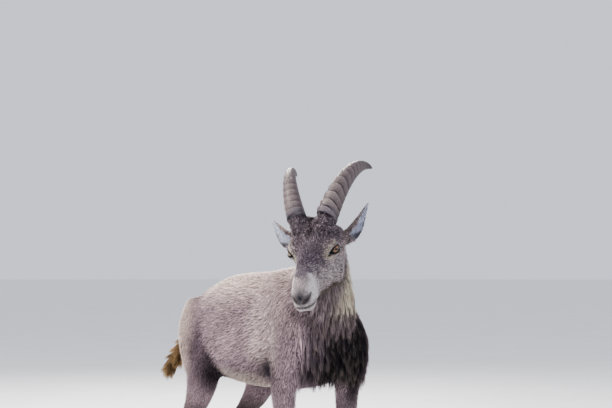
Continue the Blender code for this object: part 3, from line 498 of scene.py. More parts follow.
def ripple(points, size, seed, waves=7):
    """Smooth noise between about -1 and 1 with patches of about the given size."""
    draw = np.random.default_rng(seed)
    total = np.zeros(len(points))
    for _ in range(waves):
        direction = unit(draw.normal(size=3)) * draw.uniform(0.6, 1.5) * math.pi / size
        total += np.sin(points @ direction + draw.uniform(0, 2 * math.pi))
    return total / math.sqrt(waves)


def to_local(frame_of, points):
    inverse = np.array(frame_of.inverted())
    return points @ inverse[:3, :3].T + inverse[:3, 3]


def to_world(frame_of, points):
    matrix = np.array(frame_of)
    return points @ matrix[:3, :3].T + matrix[:3, 3]


def foot_place(foot, side):
    place = mirrored(FOOT_PLACES[foot], side)
    place.x += STRIDES[foot, side]
    return place


def leg_rows(foot, side, rows):
    """The rows of one leg, leaning below the elbow or stifle to where its foot stands."""
    return [
        (x + STRIDES[foot, side] * min(max(1 - z / STRIDE_TOP, 0) * 1.12, 1), y * side, z, *sizes)
        for x, y, z, *sizes in rows
    ]


def get_points(obj):
    points = np.empty(len(obj.data.vertices) * 3)
    obj.data.vertices.foreach_get("co", points)
    return points.reshape(-1, 3)


def set_points(obj, points):
    obj.data.vertices.foreach_set("co", np.ascontiguousarray(points, dtype=np.float32).ravel())
    obj.data.update()


def get_normals(obj):
    normals = np.empty(len(obj.data.vertices) * 3, dtype=np.float32)
    obj.data.vertex_normals.foreach_get("vector", normals)
    return normals.reshape(-1, 3).astype(float)


def get_edges(obj):
    edges = np.empty(len(obj.data.edges) * 2, dtype=np.int32)
    obj.data.edges.foreach_get("vertices", edges)
    return edges.reshape(-1, 2)


def neighbour_mean(values, edges):
    """The mean over each point's neighbours of a value or vector."""
    count = np.maximum(np.bincount(edges.ravel(), minlength=len(values)), 1)
    flat = values.reshape(len(values), -1)
    mean = np.empty_like(flat)
    for axis in range(flat.shape[1]):
        column = flat[:, axis]
        mean[:, axis] = np.bincount(edges[:, 0], column[edges[:, 1]], len(values))
        mean[:, axis] += np.bincount(edges[:, 1], column[edges[:, 0]], len(values))
    return (mean / count[:, None]).reshape(values.shape)


def soften(values, edges, rounds, weight=None):
    share = 0.5 if weight is None else 0.5 * weight
    share = share if np.ndim(share) == 0 or values.ndim == 1 else share[:, None]
    for _ in range(rounds):
        values = values + (neighbour_mean(values, edges) - values) * share
    return values


def apply_modifiers(obj):
    graph = bpy.context.evaluated_depsgraph_get()
    made = bpy.data.meshes.new_from_object(obj.evaluated_get(graph))
    obj.modifiers.clear()
    obj.data = made
    return obj


def polyline_distance(points, path):
    """Distance of each point to a path, and how far along it from 0 to 1 its nearest place is."""
    path = np.asarray(path, float)
    steps = np.linalg.norm(np.diff(path, axis=0), axis=1)
    reached = np.concatenate([[0], np.cumsum(steps)])
    best = np.full(len(points), 1e9)
    along = np.zeros(len(points))
    for k, (a, b) in enumerate(zip(path, path[1:])):
        line = b - a
        t = np.clip((points - a) @ line / max(line @ line, 1e-12), 0, 1)
        distance = np.linalg.norm(points - a - t[:, None] * line, axis=1)
        closer = distance < best
        best = np.where(closer, distance, best)
        along = np.where(closer, (reached[k] + t * steps[k]) / reached[-1], along)
    return best, along


def body_paths():
    """For each part of the body: points of its line, its radius there and the way its hair lies."""
    paths = {}
    rows = spline(TRUNK, 60)
    middle = np.stack([rows[:, 0], np.zeros(60), (rows[:, 1] + rows[:, 2]) / 2], 1)
    girth = (rows[:, 3] + (rows[:, 1] - rows[:, 2]) / 2) / 2
    paths["trunk"] = (middle, girth, np.tile([-1.0, 0, 0], (60, 1)))
    rows = spline(NECK, 40)
    paths["neck"] = (rows[:, :3], rows[:, 3:].mean(1), -unit(np.gradient(rows[:, :3], axis=0)))
    frame_of = head_frame()
    rows = spline(HEAD, 50)
    middle = to_world(frame_of, np.stack([rows[:, 0], np.zeros(50), (rows[:, 1] + rows[:, 2]) / 2], 1))
    back = np.array(frame_of.to_3x3() @ Vector((-1, 0, 0)))
    girth = (rows[:, 3] + (rows[:, 1] - rows[:, 2]) / 2) / 2
    paths["head"] = (middle, girth, np.tile(unit(back), (50, 1)))
    for foot, table in (("fore", FORE_LEG), ("hind", HIND_LEG)):
        for side, word in SIDE_NAMES.items():
            rows = spline(leg_rows(foot, side, table), 60)
            down = unit(np.gradient(rows[:, :3], axis=0))
            paths[f"{foot}_{word}"] = (rows[:, :3], rows[:, 3:].mean(1), down)
    rows = spline(TAIL, 30)
    paths["tail"] = (rows[:, :3], rows[:, 3:].mean(1), unit(np.gradient(rows[:, :3], axis=0)))
    return paths


def part_fields(points, paths):
    """How much each point belongs to each part, and the way that the parts' hair lies there."""
    reaches = []
    lies = []
    for places, radii, directions in paths.values():
        nearest = np.full(len(points), 1e9)
        lie = np.zeros((len(points), 3))
        for place, radius, direction in zip(places, radii, directions):
            distance = np.linalg.norm(points - place, axis=1) / radius
            closer = distance < nearest
            nearest[closer] = distance[closer]
            lie[closer] = direction
        reaches.append(nearest)
        lies.append(lie)
    reaches = np.stack(reaches, 1)
    weights = np.exp(-7 * (reaches - reaches.min(1, keepdims=True)))
    weights /= weights.sum(1, keepdims=True)
    flow = sum(weights[:, k, None] * lies[k] for k in range(len(lies)))
    return {name: weights[:, k] for k, name in enumerate(paths)}, flow


def build_skin(collection, scraps):
    """Trunk, neck, legs, tail and head melted into one surface, before the coat's depth is taken off."""
    frame_of = head_frame()
    loft("trunk", trunk_rings(TRUNK, 60, 48), scraps)
    loft("neck", limb_rings(NECK, 50, 40, sideways=(0.25, 1, 0)), scraps)
    core = [
        (x, y, z, *(size * (1 if k < 2 else 0.62) for size in sizes))
        for k, (x, y, z, *sizes) in enumerate(TAIL)
    ]
    loft("tail", limb_rings(core, 30, 16), scraps)
    skull = loft("skull", trunk_rings(HEAD, 60, 48, power=2.3), scraps)
    skull.data.transform(frame_of)
    for side in (1, -1):
        for foot, rows in (("fore", FORE_LEG), ("hind", HIND_LEG)):
            loft("leg", limb_rings(leg_rows(foot, side, rows), 70, 24), scraps)
        for centre, sizes in BODY_SWELLS:
            ball("muscle", mirrored(centre, side), sizes, scraps)
        for centre, sizes in HEAD_SWELLS:
            ball("cheek", mirrored(centre, side), sizes, scraps, frame_of)
        lids = EYE_RADIUS + LID_THICKNESS + 0.0012
        ball("lids", (0, 0, 0), (lids,) * 3, scraps, eye_frame(side), 32)
        line = ear_axes(side)[0]
        root = mirrored(EAR_ROOT, side)
        seat = [(*(root + line * reach), 0.016, 0.016, 0.016) for reach in (-0.030, -0.012, 0.004)]
        loft("ear_seat", limb_rings(seat, 6, 16), scraps).data.transform(frame_of)
        direction = horn_direction(0, side)
        base = mirrored(HORN_BASE, side)
        seat = [
            (*(base + direction * reach), HORN_WIDTH + 0.001, HORN_DEPTH + 0.001, HORN_DEPTH + 0.001)
            for reach in (-0.035, -0.015, 0.002)
        ]
        loft("horn_seat", limb_rings(seat, 6, 20), scraps).data.transform(frame_of)
    mesh = bmesh.new()
    for obj in list(scraps.objects):
        mesh.from_mesh(obj.data)
        bpy.data.objects.remove(obj)
    skin = mesh_object("ibex_skin", mesh, collection)
    melt = skin.modifiers.new("melt", "REMESH")
    melt.mode = "VOXEL"
    melt.voxel_size = SKIN_VOXEL
    return apply_modifiers(skin)


def refine(obj, chosen):
    """Splits the faces whose points are all chosen into four."""
    mesh = bmesh.new()
    mesh.from_mesh(obj.data)
    mesh.verts.ensure_lookup_table()
    faces = [f for f in mesh.faces if all(chosen[v.index] for v in f.verts)]
    edges = list({e for f in faces for e in f.edges})
    bmesh.ops.subdivide_edges(mesh, edges=edges, cuts=1, use_grid_fill=True)
    mesh.to_mesh(obj.data)
    mesh.free()


def muzzle_point(surface, start, turn, rise):
    frame_of = head_frame()
    direction = Vector((math.cos(turn) * math.cos(rise), math.sin(turn) * math.cos(rise), math.sin(rise)))
    hit = surface.ray_cast(frame_of @ Vector(start), (frame_of.to_3x3() @ direction).normalized())[0]
    return frame_of.inverted() @ hit


def nostril_path(surface, side):
    return [
        muzzle_point(surface, NOSE_CENTRE, math.radians(turn) * side, math.radians(rise))
        for turn, rise, _ in NOSTRIL
    ]


def nostril_width(along):
    return np.interp(along, np.linspace(0, 1, len(NOSTRIL)), [row[2] for row in NOSTRIL])


def mouth_path(surface):
    path = []
    for turn in np.linspace(-1, 1, 41):
        away = abs(turn)
        if away < MOUTH_FRONT:
            path.append(muzzle_point(surface, MOUTH_CENTRE, turn / MOUTH_FRONT * math.pi / 2, 0))
        else:
            start = MOUTH_CENTRE.lerp(MOUTH_CORNER, (away - MOUTH_FRONT) / (1 - MOUTH_FRONT))
            path.append(muzzle_point(surface, start, math.copysign(math.pi / 2, turn), 0))
    return path


def almond_size(x, z):
    """0 at the middle of the eye's opening and 1 on its edge."""
    half_length, above, below = EYE_OPENING
    height = np.where(z > 0, above, below)
    return np.sqrt((x / half_length) ** 2 + (np.abs(z) / height) ** 1.7)


def sculpt_head(skin, lines):
    """Lids, folds, nostrils and the mouth, by moving points of the skin."""
    points = get_points(skin)
    normals = get_normals(skin)
    frame_of = head_frame()
    local = to_local(frame_of, points)
    shift = np.zeros(len(points))
    for path in lines["nostrils"]:
        distance, along = polyline_distance(local, path)
        width = nostril_width(along)
        inside = np.clip(1 - (distance / (width * 1.15)) ** 2, 0, 1)
        shift -= 0.0085 * np.sqrt(inside) * ramp(inside, 0, 0.5)
        shift += 0.0011 * bell((distance - width * 1.9) / (width * 0.6))
    distance, along = polyline_distance(local, lines["mouth"])
    ends = np.clip(np.minimum(along, 1 - along) * 12 + 0.2, 0, 1)
    shift -= 0.0034 * bell(distance / 0.0012) * ends
    shift += 0.0011 * bell((distance - 0.0036) / 0.0020) * ends
    chin_dip = bell((local[:, 0] - 0.108) / 0.012, (local[:, 2] + 0.054) / 0.012)
    shift -= 0.0020 * chin_dip
    cleft = bell(local[:, 1] / 0.0013) * ramp(local[:, 0], 0.148, 0.156)
    shift -= 0.0016 * cleft * ramp(-local[:, 2], 0.012, 0.020)
    middle_dip = bell(local[:, 1] / 0.010) * ramp(local[:, 0], 0.0, 0.03)
    middle_dip = middle_dip * ramp(-local[:, 0], -0.12, -0.09)
    shift -= 0.0010 * middle_dip * (local[:, 2] > 0)
    ridge_line = np.array([(0.020, 0.046, -0.004), (0.045, 0.040, -0.012), (0.080, 0.031, -0.020)])
    for side in (1, -1):
        distance, along = polyline_distance(local, ridge_line * np.array([1, side, 1]))
        shift += 0.0018 * bell(distance / 0.007) * (1 - along)
        hollow = np.linalg.norm(local - np.array((0.035, 0.038 * side, 0.010)), axis=1)
        shift -= 0.0022 * bell(hollow / 0.014)
    points = points + normals * shift[:, None] * HEAD_SCALE
    for side in (1, -1):
        place = eye_frame(side)
        near = to_local(place, points)
        x, y, z = near.T
        size = almond_size(x, z)
        around = ramp(-size, -2.5, -1.1) * (y > 0)
        radius = np.linalg.norm(near, axis=1)
        lid = EYE_RADIUS + LID_THICKNESS
        crease = -0.0016 * bell((size - 1.75) / 0.16) * ramp(z, 0.0, 0.004)
        bag = -0.0009 * bell((size - 1.9) / 0.20) * ramp(-z, 0.0, 0.004)
        brow = 0.0022 * bell((size - 2.4) / 0.35) * ramp(z, 0.0, 0.006)
        wanted = lid + crease + bag
        wanted = np.where(size < 1.0, EYE_RADIUS - 0.0035, wanted)
        radius_new = radius + (wanted - radius) * around + brow * (y > 0)
        tear = bell((x - 0.0175) / 0.0040, (z + 0.0040) / 0.0020) * (y > 0)
        radius_new -= 0.0022 * tear
        near *= (radius_new / np.maximum(radius, 1e-6))[:, None]
        touched = (radius < 0.045) & (y > 0)
        points[touched] = to_world(place, near)[touched]
    set_points(skin, points)


def ear_mesh(side, collection):
    """A thin cup with a rolled rim, its root sunk in the head."""
    frame_of = head_frame()
    line, opening, across = ear_axes(side)
    root = mirrored(EAR_ROOT, side)
    rows = (
        (-0.16, 0.60, 1.00), (0.00, 0.80, 1.00), (0.10, 0.90, 1.05), (0.25, 1.00, 1.00), (0.42, 1.00, 0.85),
        (0.58, 0.88, 0.70), (0.74, 0.66, 0.55), (0.88, 0.38, 0.36), (1.00, 0.05, 0.10),
    )
    half = 22
    rings = []
    for u, width, curl in spline(rows, 60):
        arc = np.linspace(-1, 1, half) * curl * 1.35
        reach = EAR_HALF_WIDTH * width / max(math.sin(min(curl * 1.35, 1.5)), 0.2)
        thick = EAR_THICKNESS * 0.80 * (1 - 0.45 * max(u, 0))
        bow = EAR_LENGTH * 0.03 * math.sin(math.pi * max(u, 0))
        centre = root + line * (EAR_LENGTH * u) + opening * bow
        ring = []
        for angles, way in ((arc, 1), (arc[::-1], -1)):
            for a in angles:
                rim = math.cos(a / max(abs(arc[0]), 1e-6) * math.pi / 2) ** 0.35
                fold = 0.0012 * math.cos(a * 9) * math.sin(math.pi * min(max(u, 0), 1)) * (way < 0)
                radius = reach + way * thick / 2 * max(rim, 0.25) + fold
                radial = across * math.sin(a) - opening * math.cos(a)
                ring.append(frame_of @ (centre + opening * reach + radial * radius))
        rings.append(ring)
    return loft("ear", rings, collection)


def near_ear(u, v, out):
    """Whether a place given as ear_place gives it belongs to the ear."""
    return (u > 0.10) & (u < 1.05) & (np.abs(v) < 0.034) & (np.abs(out) < 0.036)


def ear_place(local, side):
    """Where a point of the head's frame lies on an ear: along it, across it and out of its cup."""
    line, opening, across = ear_axes(side)
    away = local - np.array(mirrored(EAR_ROOT, side))
    return away @ np.array(line) / EAR_LENGTH, away @ np.array(across), away @ np.array(opening)


def blend_to(colour, name, amount):
    return colour + (np.array(COLOURS[name]) - colour) * np.clip(amount, 0, 1)[:, None]


def head_markings(colour, local, normals_local, parts, lines):
    x, y, z = local.T
    aside = np.abs(y)
    head = parts["head"] * ramp(x, -0.125, -0.085)
    on_top = ramp(normals_local[:, 2], 0.15, 0.75)
    colour = blend_to(colour, "cheek", head)
    temple = ramp(-x, 0.02, 0.05) * ramp(aside, 0.03, 0.045) * ramp(z, -0.05, 0.0)
    colour = blend_to(colour, "temple", head * temple)
    wander = ripple(local, 0.012, 31) * 0.004
    band = np.interp(x, (-0.05, 0.0, 0.03, 0.06, 0.10, 0.13), (0.060, 0.044, 0.033, 0.024, 0.018, 0.016))
    above = z + np.interp(x, (0.0, 0.05, 0.10, 0.14), (0.0, 0.006, 0.020, 0.034))
    on_band = ramp(band + wander - aside, -0.007, 0.007) * ramp(above, -0.02, 0.012)
    colour = blend_to(colour, "bridge", head * on_band * ramp(x, -0.02, 0.05) * ramp(-x, -0.145, -0.125))
    fore = head * on_band * ramp(-x, -0.075, -0.015) * ramp(z, 0.000, 0.022)
    colour = blend_to(colour, "forehead", fore)
    streak = bell(aside / 0.006) * ramp(-x, -0.02, 0.01) * on_top
    colour = blend_to(colour, "streak", head * streak * 0.8)
    poll = ramp(-x, 0.055, 0.080) * ramp(z, 0.03, 0.055) * ramp(-aside, -0.05, -0.02)
    colour = blend_to(colour, "poll", head * poll)
    pale_nose = head * ramp(x, 0.080, 0.118) * (1 - 0.92 * on_band)
    colour = blend_to(colour, "muzzle", pale_nose)
    pad = bell(aside / 0.011, (z + 0.018) / 0.011) * ramp(x, 0.145, 0.155)
    colour = blend_to(colour, "pad", head * pad)
    # Under the jaw on the faces that look down: partly the coat's dark brown, partly painted shade
    jaw_brown_and_shade = head * ramp(-normals_local[:, 2], 0.15, 0.6) * ramp(-x, -0.095, -0.06) * ramp(-z, 0.03, 0.06)
    colour = blend_to(colour, "jaw_brown_and_shade", jaw_brown_and_shade * 0.85)
    colour = blend_to(colour, "lip", head * ramp(-z, 0.045, 0.055) * ramp(x, 0.10, 0.13) * 0.35)
    for side in (1, -1):
        crest = polyline_distance(local, np.array(FACE_CREST) * (1, side, 1))
        line = bell(crest[0] / 0.0045) * ramp(-crest[1], -1.0, -0.6)
        colour = blend_to(colour, "crest", head * line * 0.55)
        for place, sizes, amount in (
            ((0.036, 0.036 * side, 0.003), (0.011, 0.012, 0.010), 0.9),
            ((0.014, 0.046 * side, 0.028), (0.012, 0.012, 0.010), 0.8),
        ):
            away = np.linalg.norm((local - np.array(place)) / sizes, axis=1)
            colour = blend_to(colour, "forehead", head * bell(away) * amount)
        near = to_local(eye_frame(side), to_world(head_frame(), local))
        size = almond_size(near[:, 0], near[:, 2])
        front = (near[:, 1] > 0) & (np.linalg.norm(near, axis=1) < 0.045)
        pale = bell((size - 2.0) / 0.55) * front
        colour = blend_to(colour, "brow", pale * 0.75)
        colour = blend_to(colour, "dark_skin", ramp(-size, -1.42, -1.12) * front)
        tear = bell((near[:, 0] - 0.0195) / 0.0055, (near[:, 2] + 0.0048) / 0.0026)
        colour = blend_to(colour, "dark_skin", tear * front * 1.2)
    distance = polyline_distance(local, lines["mouth"])[0]
    colour = blend_to(colour, "lip", head * bell(distance / 0.0038))
    # The slit of the mouth: dark skin, with painted shade in its groove
    colour = blend_to(colour, "dark_skin", head * bell(distance / 0.0014))
    for path in lines["nostrils"]:
        distance, along = polyline_distance(local, path)
        width = nostril_width(along)
        colour = blend_to(colour, "lip", head * np.exp(-((distance / (width * 1.9)) ** 4)) * 0.8)
        # Inside the nostril: dark skin, with painted shade in its hollow
        colour = blend_to(colour, "dark_skin", head * np.exp(-((distance / (width * 1.15)) ** 6)))
    return colour


def markings(points, normals, parts, lines):
    """The colour of the coat at each point, for the skin and for the hair that grows from it, with painted
    light and shade in some marks.
    """
    x, y, z = points.T
    colour = np.tile(np.array(COLOURS["flank"]), (len(points), 1))
    up = normals[:, 2]
    trunk = parts["trunk"]
    # Pale band at the shoulder: partly the coat's own, partly painted light
    shoulder = ramp(x, 0.10, 0.17) * ramp(-x, -0.275, -0.225) * ramp(z, 0.39, 0.43)
    colour = blend_to(colour, "shoulder", shoulder)
    colour = blend_to(colour, "thigh", ramp(-x, 0.12, 0.19))
    # Darker towards the bottom of the trunk: painted shade under the belly's curve
    colour = blend_to(colour, "low_flank_shade", trunk * ramp(-z, -0.455, -0.385) * 0.9)
    # Lighter on faces that look up: partly the coat's paler back, partly painted light from above
    colour = blend_to(colour, "back", (trunk + parts["neck"] * 0.4) * ramp(up, 0.15, 0.85))
    # Lighter on the haunch's outer edge: partly paler coat, partly painted light on the rump's edge
    haunch = ramp(0.82 * np.abs(y) - 0.57 * x, 0.168, 0.205) * ramp(-x, 0.08, 0.14)
    colour = blend_to(colour, "back", haunch * ramp(z, 0.36, 0.42))
    colour = blend_to(colour, "belly", trunk * ramp(-up, 0.45, 0.85) * ramp(-x, -0.20, -0.10))
    # Painted shade in the fold in front of the stifle, where the thigh meets the belly
    stifle = bell((x + 0.078) / 0.032, (z - 0.385) / 0.070)
    colour = blend_to(colour, "thigh_fold_shade", stifle * 1.1)
    shade = bell((x + 0.125) / 0.040, (z - 0.440) / 0.065)
    colour = blend_to(colour, "low_flank_shade", shade * 0.75)
    # Painted shade where the belly meets the foreleg, behind the elbow
    elbow = bell((x - 0.197) / 0.046, (z - 0.408) / 0.040)
    colour = blend_to(colour, "elbow", elbow * ramp(np.abs(y), 0.05, 0.09) * 1.1)
    front = ramp(normals[:, 0], 0.30, 0.80) * ramp(x, 0.24, 0.29)
    colour = blend_to(colour, "neck", parts["neck"] * ramp(z, 0.50, 0.56) * ramp(normals[:, 0], 0.05, 0.45))
    # Painted rim light along the far upper side of the neck
    edge = ramp(z, 0.52, 0.58) * ramp(y + 0.30 * (0.69 - z) + 0.02, 0.0, 0.04)
    colour = blend_to(colour, "neck_rim_light", parts["neck"] * edge)
    # Lighter on the neck's faces that look back: partly paler coat, partly painted light from behind
    colour = blend_to(colour, "back", parts["neck"] * ramp(-normals[:, 0], 0.1, 0.6) * 0.6)
    # Dark chest on the faces that look forward: partly the coat's own dark chest, partly painted shade,
    # deepest on its left half
    patches = 0.02 * ripple(points, 0.030, 33)
    chest = front * ramp(-z + patches, -0.600, -0.48) * ramp(z, 0.30, 0.36)
    chest = chest * ramp(y, -0.100, -0.065) * ramp(-y, -0.125, -0.085)
    colour = blend_to(colour, "chest_side", chest * 0.9)
    colour = blend_to(colour, "chest", chest * ramp(y, -0.055, -0.015) * 0.95)
    for name, weight in parts.items():
        if name[:4] not in ("fore", "hind"):
            continue
        rear = ramp(-normals[:, 0], 0.1, 0.8)
        colour = blend_to(colour, "leg", weight * ramp(-z, -0.335, -0.245))
        colour = blend_to(colour, "leg_back", weight * ramp(-z, -0.32, -0.22) * rear * 0.6)
    colour = blend_to(colour, "tail", parts["tail"] * ramp(-x, 0.295, 0.32))
    frame_of = head_frame()
    local = to_local(frame_of, points)
    turned = normals @ np.array(frame_of.to_3x3())
    colour = head_markings(colour, local, unit(turned), parts, lines)
    for side in (1, -1):
        u, v, out = ear_place(local, side)
        opening = np.array(frame_of.to_3x3() @ ear_axes(side)[1])
        inside = ramp(normals @ unit(opening), -0.1, 0.35)
        ear = near_ear(u, v, out) * ramp(u, 0.08, 0.2)
        colour = blend_to(colour, "ear_back", ear)
        colour = blend_to(colour, "ear_inside", ear * inside)
        half_width = EAR_HALF_WIDTH * np.interp(u, (0, 0.42, 0.74, 1), (0.6, 1, 0.72, 0.1))
        edge = ramp(np.abs(v) / half_width, 0.86, 1.0)
        colour = blend_to(colour, "ear_rim", ear * edge * ramp(side * v, -0.001, 0.001) * 0.8)
    colour = colour * (1 + 0.07 * ripple(points, 0.035, 3) + 0.06 * ripple(points, 0.012, 4))[:, None]
    return np.clip(colour, 0.004, 0.9)


def coat_fields(points, parts, lines):
    """Depth of the coat, length of its hair and how upright it is, at each point of the skin."""
    x, _, z = points.T
    local = to_local(head_frame(), points)
    leg = sum(weight for name, weight in parts.items() if name[:4] in ("fore", "hind"))
    low = ramp(-z, -0.40, -0.24)
    head = parts["head"] * ramp(local[:, 0], -0.120, -0.070)
    depth = 0.0085 + 0.0015 * parts["neck"]
    depth = depth - 0.0060 * leg * low
    depth = depth - 0.0020 * leg * (1 - low)
    depth = depth * (1 - parts["tail"]) + 0.0030 * parts["tail"]
    face = 0.0026 - 0.0014 * ramp(local[:, 0], 0.05, 0.12)
    curls = ramp(local[:, 2], 0.020, 0.040) * ramp(-local[:, 0], -0.03, 0.0)
    face = face + 0.0030 * curls
    depth = depth * (1 - head) + face * head
    length = depth * 1.75
    depth = depth * (1 - 0.35 * ramp(-x, 0.22, 0.30))
    length = np.where(head > 0.5, np.maximum(length, 0.0055), np.maximum(length, 0.0075))
    bare = np.zeros(len(points))
    for side in (1, -1):
        near = to_local(eye_frame(side), points)
        front = (near[:, 1] > 0) & (np.linalg.norm(near, axis=1) < 0.05)
        size = almond_size(near[:, 0], near[:, 2])
        close = ramp(-size, -2.8, -1.3) * front
        depth = depth * (1 - close) + 0.0008 * close
        length = length * (1 - close) + 0.0040 * close
        bare = np.maximum(bare, (size < 1.28) * front)
        tear = bell((near[:, 0] - 0.0175) / 0.0040, (near[:, 2] + 0.0040) / 0.0022)
        bare = np.maximum(bare, (tear > 0.4) * front)
    distance = polyline_distance(local, lines["mouth"])[0]
    bare = np.maximum(bare, head * (distance < 0.0020))
    for path in lines["nostrils"]:
        distance, along = polyline_distance(local, path)
        width = nostril_width(along)
        bare = np.maximum(bare, head * (distance < width * 1.30))
    nose = head * ramp(local[:, 0], 0.150, 0.157) * (np.abs(local[:, 1]) < 0.012)
    length = length * (1 - 0.5 * nose)
    return depth, length, bare, curls * head


class Hair:
    """Tufts of hair as closed tapered slips, built all at once."""

    def __init__(self, steps):
        self.steps = steps
        faces = []
        for k in range(steps - 1):
            for j in range(3):
                a, b = 3 * k + j, 3 * k + (j + 1) % 3
                faces.append((a, b, b + 3))
                faces.append((a, b + 3, a + 3))
        last = 3 * (steps - 1)
        for j in range(3):
            faces.append((last + j, last + (j + 1) % 3, last + 3))
        faces.append((2, 1, 0))
        self.faces = np.array(faces)
        self.size = last + 4

    def build(self, name, centres, sides, outs, half_widths, colours, places, collection, material):
        """centres: tufts x (steps + 1) x 3, half_widths: tufts x steps, colours: tufts x (steps + 1) x 3."""
        count = len(centres)
        rings = []
        for k in range(self.steps):
            width = half_widths[:, k, None]
            rings.append(centres[:, k] - sides * width)
            rings.append(centres[:, k] + sides * width)
            rings.append(centres[:, k] + outs * width * 0.7)
        rings.append(centres[:, self.steps])
        points = np.stack(rings, 1).reshape(-1, 3)
        faces = (self.faces[None] + (np.arange(count) * self.size)[:, None, None]).reshape(-1, 3)
        shades = np.repeat(colours[:, :-1], 3, axis=1)
        shades = np.concatenate([shades, colours[:, -1:]], 1).reshape(-1, 3)
        obj = raw_mesh(name, points, faces, collection)
        paint(obj, shades)
        patch = np.zeros((self.size, 2))
        for k in range(self.steps):
            for j, aside in enumerate((-0.5, 0.5, 0.0)):
                patch[3 * k + j] = (aside, k / self.steps - 0.5)
        patch[-1] = (0, 0.5)
        spots = (places[:, None] + patch[None] * UV_PATCH).reshape(-1, 2)
        bake = obj.data.uv_layers.new(name="OFBake")
        bake.data.foreach_set("uv", np.clip(spots[faces.ravel()], 0, 1).astype(np.float32).ravel())
        obj.data.materials.append(material)
        return obj


def raw_mesh(name, points, faces, collection):
    data = bpy.data.meshes.new(name)
    data.vertices.add(len(points))
    data.vertices.foreach_set("co", points.astype(np.float32).ravel())
    data.loops.add(faces.size)
    data.loops.foreach_set("vertex_index", faces.astype(np.int32).ravel())
    data.polygons.add(len(faces))
    data.polygons.foreach_set("loop_start", (np.arange(len(faces)) * faces.shape[1]).astype(np.int32))
    data.polygons.foreach_set("use_smooth", np.ones(len(faces), dtype=bool))
    data.update(calc_edges=True)
    obj = bpy.data.objects.new(name, data)
    collection.objects.link(obj)
    return obj


def paint(obj, colours):
    layer = obj.data.color_attributes.new("markings", "FLOAT_COLOR", "POINT")
    rgba = np.ones((len(colours), 4), dtype=np.float32)
    rgba[:, :3] = colours
    layer.data.foreach_set("color", rgba.ravel())


def node_material(name, roughness, **values):
    """A material with the given values on its shader's sockets."""
    made = bpy.data.materials.new(name)
    made.use_nodes = True
    shader = made.node_tree.nodes["Principled BSDF"]
    shader.inputs["Roughness"].default_value = roughness
    for socket, value in values.items():
        shader.inputs[socket.replace("_", " ")].default_value = value
    return made


def add_node(material, kind, **settings):
    node = material.node_tree.nodes.new(kind)
    for key, value in settings.items():
        if key in node.inputs:
            node.inputs[key].default_value = value
        else:
            setattr(node, key, value)
    return node


def link(material, source, target):
    material.node_tree.links.new(source, target)


def multiply_by_noise(material, colour, coordinates, scale, low, high, detail=3.0):
    """Colour times a factor between low and high that follows a noise."""
    noise = add_node(material, "ShaderNodeTexNoise", Scale=scale, Detail=detail)
    link(material, coordinates, noise.inputs["Vector"])
    spread = add_node(material, "ShaderNodeMapRange")
    spread.inputs["From Min"].default_value = 0.3
    spread.inputs["From Max"].default_value = 0.7
    spread.inputs["To Min"].default_value = low
    spread.inputs["To Max"].default_value = high
    link(material, noise.outputs["Fac"], spread.inputs["Value"])
    mix = add_node(material, "ShaderNodeMix", data_type="RGBA", blend_type="MULTIPLY")
    mix.inputs["Factor"].default_value = 1.0
    link(material, colour, mix.inputs["A"])
    link(material, spread.outputs["Result"], mix.inputs["B"])
    return mix.outputs["Result"], noise.outputs["Fac"]


def add_bump(material, height, strength, distance):
    bump = add_node(material, "ShaderNodeBump", Strength=strength, Distance=distance)
    link(material, height, bump.inputs["Height"])
    link(material, bump.outputs["Normal"], material.node_tree.nodes["Principled BSDF"].inputs["Normal"])


def coat_materials():
    """Hair and the skin under it, both coloured by the markings."""
    hair = node_material("coat_hair", 0.66, Specular_IOR_Level=0.16, Sheen_Weight=0.04, Sheen_Roughness=0.5)
    shader = hair.node_tree.nodes["Principled BSDF"]
    colour = add_node(hair, "ShaderNodeAttribute", attribute_name="markings").outputs["Color"]
    place = add_node(hair, "ShaderNodeTexCoord").outputs["Object"]
    mixed = multiply_by_noise(hair, colour, place, 900.0, 0.86, 1.14)[0]
    link(hair, mixed, shader.inputs["Base Color"])
    skin = node_material("coat_skin", 0.80, Specular_IOR_Level=0.25)
    shader = skin.node_tree.nodes["Principled BSDF"]
    colour = add_node(skin, "ShaderNodeAttribute", attribute_name="markings").outputs["Color"]
    lie = add_node(skin, "ShaderNodeUVMap", uv_map="OFBake").outputs["UV"]
    stretch = add_node(skin, "ShaderNodeVectorMath", operation="MULTIPLY")
    stretch.inputs[1].default_value = (900.0, 110.0, 1.0)
    link(skin, lie, stretch.inputs[0])
    mixed, streaks = multiply_by_noise(skin, colour, stretch.outputs["Vector"], 1.0, 0.72, 1.25)
    link(skin, mixed, shader.inputs["Base Color"])
    add_bump(skin, streaks, 0.5, 0.0012)
    return hair, skin


